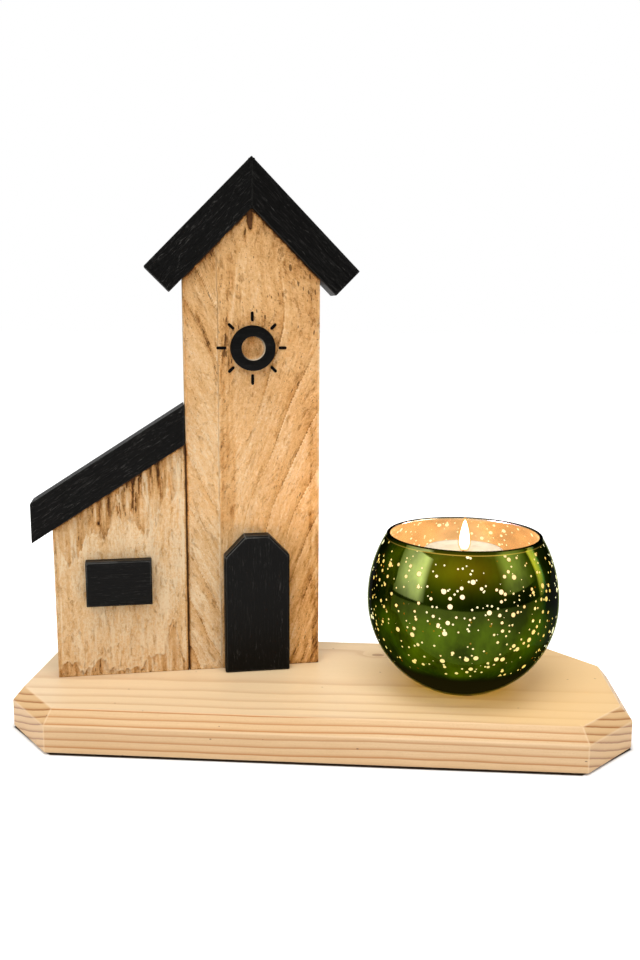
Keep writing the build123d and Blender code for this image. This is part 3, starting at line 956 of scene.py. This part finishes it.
def tower_relief(along, up):
    """How far the tower's front lies back, in millimetres: the strip smoothed with a plane, the
    sun's coned recess, and shallow saw furrows."""
    x = along - tower_left
    back = facet_drop * np.clip(1 - x / facet_width, 0, 1)
    far = np.hypot(x - tower_width / 2, up - sun_height)
    back = back + 1.2 * smooth(5.65, 0.6, far)
    from_right = tower_width - x + 0.5 * soft_noise(up / 5, x / 9, 23)
    back = back + 0.55 * smooth(2.0, 0.2, from_right) * smooth(0, 4, up)
    flow = tower_flow(along, up)
    furrow = layered_noise(flow[:, 0] / 1.5, flow[:, 1] / 14, 21, 4)
    chip = smooth(0.45, 0.55, layered_noise(flow[:, 0] / 2.8, flow[:, 1] / 8, 22, 4))
    part, _ = tower_steps(along, up)
    ease = smooth(0, 3, np.minimum(np.minimum(x, tower_width - x), up)) * smooth(5.0, 7.0, far)
    return back + ease * (0.08 * (1.9 + furrow) + 0.14 * chip + 0.22 * part**2)


def lean_tone(along, up):
    """How pale the lean-to's front is: upright fibres, a torn dark patch under the roof with pale
    tongues below it, torn scallops at the foot, painted shade under the roof batten and along the
    foot, and painted shade along the right edge and in the gap beside the tower."""
    fibres = layered_noise(along / 1.5, up / 22, 31, 4)
    tone = 0.89 + 0.05 * fibres + 0.05 * soft_noise(along / 9, up / 30, 32)
    torn, lip = lean_tears(along, up)
    tone -= torn * (0.17 + 0.26 * layered_noise(along / 1.3, up / 17, 33, 3)) - 0.18 * lip
    dark = spot(along, up, 44, 98, 14, 11) + 0.7 * spot(along, up, 30, 86, 9, 7)
    dark += 0.5 * spot(along, up, 55, 104, 4, 9)
    tone -= 0.36 * dark * (0.6 + layered_noise(along / 1.4, up / 15, 34, 3))
    tone -= 0.8 * spot(along, up, 22.0, 78.7, 0.9, 1.0)
    tone -= 0.22 * spot(along, up, 57.4, 21, 3.2, 9) + 0.16 * spot(along, up, 4.5, 30, 2.5, 26)
    # Painted shade under the roof batten.
    roof_line = lean_eaves + along * lean_slope - up
    tone -= 0.16 * fall(roof_line, 3.0)
    tone -= 0.14 * fall(along, 1.5) * (0.6 + layered_noise(along, up / 4, 40, 3))
    # Painted shade along the foot and the right edge, and in the gap beside the tower.
    tone -= 0.16 * fall(up, 1.6) + 0.10 * fall(lean_width - along, 1.0)
    tone -= 1.0 * fall(lean_width - along, 0.40) + 0.4 * fall(roof_line, 0.9)
    return tone


def lean_tears(along, up):
    """Where the lean-to's skin is torn off, and the pale lip along each tear's ragged edge."""
    roof_line = lean_eaves + along * lean_slope
    tongue = 5.5 * layered_noise(along / 4.2, up / 60, 44, 4) + 2.4 * soft_noise(along / 0.9, up / 12, 42)
    peaks = 14 * fall(along - 38.3, 2.6) + 9 * fall(along - 29.6, 2.2)
    depth = 17 + 13 * fall(along - 44, 12) - peaks
    upper = (up - (roof_line - depth) + 1.2 * tongue) * smooth(2, 9, along) * smooth(64, 56, along)
    rise = 4.5 + 22 * fall(along - 57.4, 3.4) + 5 * fall(along - 46, 3)
    foot = rise + 0.6 * tongue - up
    reach = np.maximum(upper, foot)
    return smooth(-0.15, 0.3, reach), fall(reach + 0.6, 0.42)


def lean_relief(along, up):
    """How far the lean-to's front lies back, in millimetres: torn parts below the skin, with
    upright fibres in them."""
    torn, _ = lean_tears(along, up)
    fibres = layered_noise(along / 1.3, up / 16, 43, 4)
    chip = smooth(0.4, 0.55, layered_noise(along / 2.4, up / 9, 45, 4))
    ease = smooth(0, 2.5, np.minimum(np.minimum(along, lean_width - along), up + 1.5))
    return ease * (0.12 * (1.9 + fibres) + torn * (0.60 + 0.34 * fibres) + 0.18 * chip)


def make_plank(name, chains, tone, relief, flow, spacing, up_spacing, replaces):
    """A sawn plank: its front lies back by the relief, its back is plain sawn, and every point
    carries its tone and its place across, along and into the fibres."""
    sharp = np.array([(1.2, 0.0), (0.0, 0.0), (0.0, -plank_thickness), (1.2, -plank_thickness)])
    profile = rounded(sharp, 0.4, 3, fills=[1, 8, 1])
    points, faces, on_front, edges, soft = block(chains, profile, 0.4, spacing, True, up_spacing)
    along, up, out = points.T
    shift = np.where(on_front, relief(along, up), 0)
    on_back = out < -plank_thickness + 0.01
    rough_back = np.where(on_back, 0.10 * (1.9 + layered_noise(along / 1.8, up / 20, 51, 3)), 0)
    ease = smooth(0.2, 2.5, np.minimum(along - along.min(), along.max() - along))
    points[:, 2] = out - shift + rough_back * ease
    plain = 0.76 + 0.07 * layered_noise(along / 3, up / 40, 52, 3)
    plain += 0.05 * layered_noise(along, up / 16, 53, 3)
    shown = np.where(out > -1.2, tone(along, up), plain)
    shown = shown + 0.16 * edges * layered_noise(along / 3 + out, up / 3, 54, 2)
    fibres = np.column_stack([flow(along, up), out])
    make_piece(name, in_house(points), faces, sawn, "house", [replaces], soft,
               {"tone": shown, "flow": fibres})


sawn = plank_finish("rough_sawn_plank")
tower_chains = side_chains(
    [(tower_left, 0), (tower_left + facet_width, 0), (tower_middle, 0), (tower_right, 0)],
    [(tower_left, tower_eaves), (tower_left + facet_width, tower_eaves + facet_width),
     (tower_middle, tower_apex), (tower_right, tower_eaves)],
    1.5,
)
make_plank("sawn_tower", tower_chains, tower_tone, tower_relief, tower_flow, 0.72, 0.88, "tower_plank")
lean_chains = side_chains(
    [(0, 0), (lean_width / 2, 0), (lean_width, 0)],
    [(0, lean_eaves), (lean_width / 2, lean_eaves + lean_width / 2 * lean_slope),
     (lean_width, lean_eaves + lean_width * lean_slope)],
    1.5,
)
make_plank("sawn_lean_to", lean_chains, lean_tone, lean_relief, lean_flow, 0.45, 0.45, "lean_to_plank")


# Painted pieces

def painted(name, bottom, top, back, out, finish, replaces,
            spacing, ripple, slope=0.0, chamfer=0.0):
    """A painted piece: a face with eased or chamfered edges in front, carried back. A ripple lays
    its front back in ridges along the slope."""
    if chamfer:
        front_edge = [(chamfer + 0.8, out), (chamfer, out), (0.0, out - chamfer)]
        profile = rounded(np.array([*front_edge, (0.0, back), (1.0, back)]), 0.32, 4, fills=[1, 2, 4, 1])
    else:
        sharp = np.array([(1.6, out), (0.0, out), (0.0, back), (1.0, back)])
        profile = rounded(sharp, 0.6, 4, fills=[1, 4, 1])
    chains = side_chains(bottom, top, 1.2)
    points, faces, on_front, edges, soft = block(chains, profile, 0.5, spacing, True)
    along, up, _ = points.T
    down_length = along * np.cos(slope) + up * np.sin(slope)
    over_width = up * np.cos(slope) - along * np.sin(slope)
    ridges = layered_noise(over_width / 1.5, down_length / 26, 61, 3)
    points[:, 2] -= np.where(on_front, ripple * (1.7 + ridges), 0)
    # On chamfered plaques the pale edges are kept mostly to the top and the left half, where the light
    # falls: a painted highlight.
    if chamfer:
        high_up = smooth(up.max() - 14, up.max() - 9, up)
        edges = edges * (0.2 + 0.8 * high_up) * (1 - 0.5 * (along > along.mean()))
    make_piece(name, in_house(points), faces, finish, "house", [replaces], soft, {"edge": edges})


pitch = np.radians(45.0)
ridge_top = tower_apex + batten / np.cos(pitch)
roof_back = -plank_thickness
for side, over, which, wrinkle in ((-1, over_left, "left", 1.0), (1, over_right, "right", 0.22)):
    foot_off = tower_width / 2 + over * np.cos(pitch)
    low = (tower_middle + side * foot_off, tower_eaves - over * np.sin(pitch))
    outer = (low[0] + side * batten * np.sin(pitch), low[1] + batten * np.cos(pitch))
    inner_line = [low, (tower_middle, tower_apex)]
    outer_line = [outer, (tower_middle, ridge_top)]
    if side > 0:
        inner_line, outer_line = inner_line[::-1], outer_line[::-1]
    slope = -side * pitch
    painted("roof_batten_" + which, inner_line, outer_line, roof_back, batten_proud,
            black_finish("painted_batten_" + which, slope, wrinkle), "tower_roof_" + which,
            0.8, 0.07, slope)

lean_angle = np.arctan(lean_slope)
lean_up = batten / np.cos(lean_angle)
lean_low = (-lean_over, lean_eaves - lean_over * lean_slope)
lean_high = (lean_width, lean_eaves + lean_width * lean_slope)
painted("lean_to_batten", [lean_low, lean_high],
        [(lean_low[0], lean_low[1] + lean_up), (lean_high[0], lean_high[1] + lean_up)],
        roof_back, batten_proud, black_finish("painted_batten_lean_to", lean_angle, 0.5, scratches=0.8),
        "lean_to_roof", 0.8, 0.05, lean_angle)

door_paint = black_finish("painted_door", 0.0, 0.16, upright=True, scratches=0.35, edge_wear_and_highlight=1.2)
door_left = tower_middle + door_off_middle - door_width / 2
door_right = door_left + door_width
door_across = [door_left, door_left + door_clip, door_right - door_clip, door_right]
door_up = [door_shoulder, door_height, door_height, door_shoulder]
painted("door_plaque", [(along, 0) for along in door_across], list(zip(door_across, door_up)),
        0.0, door_thickness, door_paint, "door", 1.0, 0.02, np.pi / 2, chamfer=0.9)
window_paint = black_finish("painted_window", 0.0, 0.2, scratches=0.25, edge_wear_and_highlight=1.0)
painted("window_plaque", [(window_left, window_sill), (window_right, window_sill)],
        [(window_left, window_head), (window_right, window_head)],
        0.0, window_thickness, window_paint, "window_panel", 1.0, 0.015, chamfer=0.6)


# The sun and its rays

def on_tower(across, up, out, way=0.0):
    """From a place measured from the sun's middle, turned about it, to (along, up, out)."""
    along = tower_middle + across * np.cos(way) - up * np.sin(way)
    height = sun_height + across * np.sin(way) + up * np.cos(way)
    return np.stack(np.broadcast_arrays(along, height, out), -1)


ring_section, _ = rounded(np.array([
    (ring_middle, 0.0), (ring_outside, 0.0), (ring_outside, ring_thickness),
    (ring_inside, ring_thickness), (ring_inside, 0.0), (ring_middle, 0.0),
]), 0.55, 4)
ring_points, ring_faces = turned(ring_section[:-1], 72, closed=True)
across, up, out = ring_points.T
# The lower right of the ring's inner rim, which faces the light, is painted pale wood colour: a painted
# highlight.
low_right = smooth(-0.6, 0.7, np.cos(np.arctan2(up, across) + 0.7))
ring_painted_rim_highlight = smooth(6.1, 5.7, np.hypot(across, up)) * low_right
make_piece("sun_disc", in_house(on_tower(across, up, out)), ring_faces,
           black_finish("painted_sun", 0.0, 0.12, scratches=0.15),
           "house", ["sun_ring"], values={"painted_rim_highlight": ring_painted_rim_highlight * 0.9})


def ray(way, length):
    """A ray's inlay, dished like a burnt groove: a stadium outline (a circle whose halves are drawn
    apart) at its root and at its rim, a narrower one in the dish, and the middles of both ends."""
    angle = np.arange(20) * 2 * np.pi / 20
    round_x, round_y = np.cos(angle), np.sin(angle)
    drawn = np.sign(np.round(round_x, 6)) * (length / 2 - ray_half_width)
    middle = ray_start + length / 2
    rings = []
    for radius, out in ((ray_half_width, -ray_root), (ray_half_width, 0.05), (0.52, 0.03)):
        rings.append(on_tower(middle + round_x * radius + drawn, round_y * radius, out, way))
    ends = on_tower(middle, 0.0, np.array([-ray_root, 0.0]), way)
    return np.vstack([*rings, ends])


rays = [ray(np.radians(45.0 * number), ray_length * share) for number, share in enumerate(ray_shares)]
ray_faces = [closed_stack(3, 20) + number * len(rays[0]) for number in range(len(rays))]
make_piece("sun_rays", in_house(np.vstack(rays)), np.vstack(ray_faces),
           plain_finish("burnt_rays", (0.003, 0.002, 0.0015), 0.9, gloss=0.1),
           "house")


# The bowl

def arc(middle, radius, angle):
    """Points at angles round a circle."""
    return np.array(middle) + radius * np.stack([np.cos(angle), np.sin(angle)], 1)


def belly_arc(belly, radius, height, count):
    """Points of the arc that leaves the belly upright and ends at a radius and height."""
    rise = height - bowl_belly_height
    centre = (radius**2 + rise**2 - belly**2) / (2 * (radius - belly))
    arc_radius = belly - centre
    angle = np.linspace(0, np.arcsin(rise / arc_radius), count)
    return arc((centre, bowl_belly_height), arc_radius, angle)


bowl_sides = 180
lip_half = bowl_wall / 2
inner_belly = bowl_belly - bowl_wall
inner_upper = belly_arc(inner_belly, bowl_lip_radius - lip_half, bowl_lip_height, 40)
inner_lower = belly_arc(inner_belly, bowl_floor_radius, bowl_floor, 40)
outer_upper = belly_arc(bowl_belly, bowl_lip_radius + lip_half, bowl_lip_height, 44)
outer_lower = belly_arc(bowl_belly, bowl_foot_radius, bowl_foot_height, 44)
lip = arc((bowl_lip_radius, bowl_lip_height), lip_half, np.linspace(np.pi, 0, 9)[1:-1])
floor_line = np.column_stack([np.linspace(0, bowl_floor_radius, 10)[:-1], np.full(9, bowl_floor)])
foot_line = np.array([
    (20.4, 0.15), (19.6, 0.0), (17.5, 0.0), (15.0, 0.0),
    (12.0, 0.55), (8.0, 1.15), (4.0, 1.5), (0.0, 1.6),
])
inner_profile = np.vstack([floor_line, inner_lower[::-1], inner_upper[1:]])
outer_profile = np.vstack([outer_upper[::-1], outer_lower[1:], foot_line])
bowl_profile = np.vstack([inner_profile, lip, outer_profile])
bowl_points, bowl_faces = turned(bowl_profile, bowl_sides)
is_inner = np.arange(len(bowl_profile)) <= len(inner_profile)
inner_values = np.repeat(is_inner, np.where(bowl_profile[:, 0] < 1e-6, 1, bowl_sides))
bowl_points = bowl_points + (bowl_middle_x, 0, board_top)
make_piece("speckled_bowl", bowl_points, bowl_faces, glass_finish("silvered_green_glass"), "bowl",
           ["glass_bowl"], values={"inner": inner_values})


# The candle

wax_profile, _ = rounded(np.array([
    (0.0, pool_bottom), pool_edge, (candle_shoulder, candle_height), (candle_radius, candle_height),
    (candle_radius, 0.0), (0.0, 0.0),
]), 1.1, 5, fills=[6, 2, 1, 30, 8])
wax_points, wax_faces = turned(wax_profile, 96)
wax_points = wax_points + (bowl_middle_x, 0, candle_foot)
make_piece("wax_candle", wax_points, wax_faces, wax_finish("lit_wax"),
           "candle", ["candle_wax"])

# The wick: rings that narrow and lean as they rise, with three soft lobes that wind round it
wick_share = np.linspace(0, 1, 22)[:, None]
wick_angle = np.arange(12) * 2 * np.pi / 12
wick_reach = wick_radius * np.where(wick_share < 0.97, 1 - 0.25 * wick_share, 0.35)
lobes = 1 + 0.15 * np.cos(3 * wick_angle + 14 * wick_share)
wick_x = bowl_middle_x + wick_lean * smooth(0.3, 1.0, wick_share) + wick_reach * np.cos(wick_angle)
wick_y = wick_reach * np.sin(wick_angle) * lobes
wick_z = wick_foot + wick_length * wick_share
wick_rings = np.stack(np.broadcast_arrays(wick_x, wick_y, wick_z), -1)
wick_ends = [(bowl_middle_x, 0, wick_foot), (bowl_middle_x + wick_lean, 0, wick_foot + wick_length + 0.2)]
make_piece("burnt_wick", np.vstack([*wick_rings, wick_ends]), closed_stack(*wick_x.shape),
           plain_finish("charred_cotton", (0.02, 0.012, 0.008), 0.9),
           "candle", ["candle_wick"])

flame_share = np.linspace(0, 1, 34)
flame_outline = np.sin(np.pi * flame_share**0.70) ** 0.62 * (1 - 0.30 * flame_share)
flame_outline[0] = flame_outline[-1] = 0.0
veil_profile = np.column_stack([flame_radius * flame_outline, flame_foot + flame_height * flame_share])
core_profile = np.column_stack([core_radius * flame_outline, core_foot + core_height * flame_share])
veil_points, veil_faces = turned(veil_profile, 40)
core_points, core_faces = turned(core_profile, 40)
flame_points = np.vstack([veil_points, core_points]) + (bowl_middle_x + flame_aside, 0, 0)
flame_faces = np.vstack([veil_faces, core_faces + len(veil_points)])
flame_core = np.repeat([0.0, 1.0], [len(veil_points), len(core_points)])
make_piece("flame", flame_points, flame_faces, flame_finish("candle_flame"), "candle",
           values={"core": flame_core})

# Finishes of the parts that stay as the CAD made them

plain_parts = {
    "felt": plain_finish("black_felt", (0.02, 0.02, 0.022), 0.95, grain=2500.0, amount=0.8, depth=0.0003),
    "screw": plain_finish("plated_screws", (0.62, 0.58, 0.46), 0.3, 1.0, grain=1500.0, amount=0.15),
    "_pin_": plain_finish("bright_pins", (0.55, 0.55, 0.55), 0.28, 1.0, grain=2000.0, amount=0.1),
    "tab": plain_finish("tinned_tab", (0.70, 0.70, 0.68), 0.3, 1.0, grain=1200.0, amount=0.15),
}
for node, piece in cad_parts.items():
    for word, finish in plain_parts.items():
        if word in node:
            piece.data.materials.clear()
            piece.data.materials.append(finish)


# Studio

def stage_card(name, corners, finish, faces=((0, 1, 2, 3),), seen=False):
    """A thin card on the stage. Unless it is seen, only what reflects shows it, and it casts no
    shadow."""
    mesh = bpy.data.meshes.new(name)
    mesh.from_pydata(corners, [], faces)
    mesh.materials.append(finish)
    card = bpy.data.objects.new(name, mesh)
    bpy.context.scene.collection.objects.link(card)
    if not seen:
        card.visible_camera = card.visible_diffuse = card.visible_shadow = False
    return card


def seen_rays(add):
    """1 for the camera's rays and for those that are mirrored or have passed a clear coat."""
    kinds = [add("LightPath", out=f"Is {kind} Ray") for kind in ("Camera", "Glossy", "Transmission")]
    return larger(add, kinds[0], larger(add, kinds[1], kinds[2]))


def table_finish():
    """White table: matte, with a lift that only the camera and reflections see. The lift stops under
    the board, so the contact shadow stays dark, and under the board's footprint the table is
    painted dark: a painted contact shadow."""
    finish, add = new_finish("white_table")
    place = object_space(add)
    off_end = abs(axis(add, place, "X")) - half_length * MM
    off_side = abs(axis(add, place, "Y")) - half_depth * MM
    off_corner = corner_across * MM * 0.7 + (off_end + off_side) * 0.7
    away = larger(add, larger(add, off_end, off_side), off_corner)
    outside = remap(add, away, 0.0005, 0.006)
    under = remap(add, away, -0.0004, 0.0004)
    # Under the board's footprint the table is painted dark: a painted contact shadow.
    white = ramp(add, under, ((0.0, (0.07, 0.05, 0.035)), (1.0, grey(0.82))))
    matte = add("BsdfDiffuse", {"Color": white})
    lift = glow(add, (1, 1, 1, 1), seen_rays(add) * outside * 0.66)
    close_finish(add, add("AddShader", {0: matte, 1: lift}))
    return finish


stage_card("table", [(-9, -9, 0), (9, -9, 0), (9, 9, 0), (-9, 9, 0)], table_finish(), seen=True)


def glow_finish(name, low, high, bottom, top):
    """A card that gives off a plain grey light, from a low level at its bottom to a high one on top."""
    finish, add = new_finish(name)
    height = axis(add, object_space(add), "Z")
    close_finish(add, glow(add, (1, 1, 1, 1), remap(add, height, bottom, top, low, high)))
    return finish


# Dark screens all round, which only reflections see
screen_top = 1.4
screen = glow_finish("dark_screen", 0.03, 0.45, 0.1, screen_top)
room = 1.25
for name, (x0, y0), (x1, y1) in (
    ("front_screen", (-room, -room), (room, -room)), ("right_screen", (room, -room), (room, room)),
    ("back_screen", (room, room), (-room, room)), ("left_screen", (-room, room), (-room, -room)),
):
    stage_card(name, [(x0, y0, 0.0), (x1, y1, 0.0), (x1, y1, screen_top), (x0, y0, screen_top)], screen)

# The world: a soft warm fill that lights the piece, and plain white where the camera sees it
world = bpy.data.worlds.new("studio")
bpy.context.scene.world = world
world.use_nodes = True
add = node_adder(world.node_tree)
fill = add("Background", {"Color": (1.0, 0.985, 0.96, 1), "Strength": 0.50})
white = add("Background", {"Color": (1, 1, 1, 1), "Strength": 1.0})
add("OutputWorld", {"Surface": mixed(add, seen_rays(add), fill, white)})


def area_light(name, at, width, height, power):
    """A rectangular lamp that looks at the middle of the piece, and that no mirror shows."""
    lamp = bpy.data.lights.new(name, "AREA")
    lamp.shape = "RECTANGLE"
    lamp.size, lamp.size_y = width, height
    lamp.energy = power
    light = bpy.data.objects.new(name, lamp)
    light.location = at
    towards = Vector((0.0, 0.0, 0.09)) - Vector(at)
    light.rotation_euler = towards.to_track_quat("-Z", "Y").to_euler()
    light.visible_camera = light.visible_glossy = False
    bpy.context.scene.collection.objects.link(light)


area_light("key", (-0.35, -1.1, 0.95), 0.60, 0.60, 6.0)
area_light("right_fill", (0.7, -0.9, 0.7), 0.60, 0.60, 1.8)
area_light("left_fill", (-0.85, -0.25, 0.50), 0.7, 0.95, 0.6)
area_light("top_panel", (0.0, -0.3, 1.5), 1.0, 0.7, 16.0)


def panel_finish(name, level, from_way, to_way, soft_from, soft_to, colour):
    """A bright panel's light, which fades towards its foot and over the last degrees before each of
    its upright ends."""
    finish, add = new_finish(name)
    from_bowl = stretched(add, object_space(add), (1, 1, 1), (-bowl_middle_x * MM, 0, 0))
    way = math(add, "ARCTAN2", axis(add, from_bowl, "X"), axis(add, from_bowl, "Y") * -1.0)
    way = way * (180 / np.pi)
    first = remap(add, way, from_way, from_way + soft_from)
    last = remap(add, way, to_way, to_way - soft_to)
    foot = remap(add, axis(add, from_bowl, "Z"), 0.02, 0.35, 0.25)
    strength = first * last * (foot * level)
    close_finish(add, glow(add, colour, strength))
    return finish


def reflector(name, from_way, to_way, low, high, level, soft_from, soft_to, colour):
    """A bright panel that only reflections see, bent round the bowl at 0.9 m between two compass
    ways (degrees from the front, positive to the right) and two elevations."""
    at, centre, parts = 0.9, np.array([bowl_middle_x * MM, 0.0, 0.064]), 12
    ways = np.radians(np.linspace(from_way, to_way, parts + 1))
    rises = np.tan(np.radians([low, high]))
    corners = []
    for rise in rises:
        for way in ways:
            corners.append(tuple(centre + at * np.array([np.sin(way), -np.cos(way), rise])))
    faces = [(k, k + 1, k + parts + 2, k + parts + 1) for k in range(parts)]
    finish = panel_finish(name + "_light", level, from_way, to_way, soft_from, soft_to, colour)
    return stage_card(name, corners, finish, faces)


def only_on(light, light_name, falls_on, stopped_by=()):
    """Lets a light fall on the named pieces alone, and lets only the named pieces stop it."""
    for pieces, key, word in (
        (falls_on, "receiver_collection", "_falls_on"),
        (stopped_by, "blocker_collection", "_stopped_by"),
    ):
        if pieces:
            group = bpy.data.collections.new(light_name + word)
            for piece in pieces:
                group.objects.link(bpy.data.objects[piece])
            setattr(light.light_linking, key, group)


for name, from_way, to_way, low, high, level, soft_from, soft_to, colour in (
    ("left_window", -106, -48, 0, 37, 19.0, 40, 9, (1.12, 1.0, 2.2, 1)),
    ("right_window", 42, 96, 8, 42, 7.0, 14, 24, (1.0, 1.0, 1.0, 1)),
    ("right_strip", 95, 112, -3, 26, 22.0, 4, 4, (1.5, 1.0, 1.1, 1)),
):
    panel = reflector(name, from_way, to_way, low, high, level, soft_from, soft_to, colour)
    only_on(panel, name, ["speckled_bowl"])

sheen = stage_card("white_behind", [(1.2, 1.2, 0.0), (-1.2, 1.2, 0.0), (-1.2, 1.2, 1.1), (1.2, 1.2, 1.1)],
                   glow_finish("white_behind_light", 0.8, 0.8, 0, 1))
only_on(sheen, "white_behind", ["pine_board", "lean_to_batten"])


def candle_light(name, height, power, colour, falls_on, stopped_by):
    """A small warm lamp on the candle's axis that lights only the named pieces, and whose light only
    the named pieces stop."""
    lamp = bpy.data.lights.new(name, "POINT")
    lamp.energy, lamp.color, lamp.shadow_soft_size = power, colour, 0.006
    light = bpy.data.objects.new(name, lamp)
    light.location = (bowl_middle_x * MM, 0, height * MM)
    light.visible_glossy = False
    bpy.context.scene.collection.objects.link(light)
    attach(light, "candle")
    only_on(light, name, falls_on, stopped_by)


planks = ["sawn_tower", "sawn_lean_to"]
candle_light("flame_light", 100.0, 0.13, (1.0, 0.46, 0.08), planks + ["pine_board", "roof_batten_right"],
             planks + ["pine_board", "door_plaque", "speckled_bowl"])
candle_light("light_through_glass", 66.0, 0.17, (1.0, 0.56, 0.03), planks, planks + ["door_plaque"])
candle_light("green_light_on_board", 62.0, 0.060, (1.0, 0.72, 0.10), ["pine_board"],
             ["sawn_tower", "door_plaque"])


# Camera

camera_at = (0.03307, -0.45997, 0.20349)
focal_pixels = 952.23
frame_pixels = 960
sensor = 36.0
yaw, dip, roll = np.radians((-4.17, 9.99, -0.28))
ahead = np.array([np.sin(yaw) * np.cos(dip), np.cos(yaw) * np.cos(dip), -np.sin(dip)])
level = np.array([np.cos(yaw), -np.sin(yaw), 0.0])
down = np.cross(ahead, level)
right = np.cos(roll) * level + np.sin(roll) * down
below = -np.sin(roll) * level + np.cos(roll) * down
camera_data = bpy.data.cameras.new("viewer")
camera_data.sensor_width = sensor
camera_data.lens = focal_pixels / frame_pixels * sensor
camera_data.clip_start, camera_data.clip_end = 0.01, 20.0
camera = bpy.data.objects.new("viewer", camera_data)
bpy.context.scene.collection.objects.link(camera)
turn = Matrix(np.column_stack([right, -below, -ahead]).tolist()).to_4x4()
camera.matrix_world = Matrix.Translation(Vector(camera_at)) @ turn
bpy.context.scene.camera = camera

bpy.context.scene.view_settings.view_transform = "Standard"
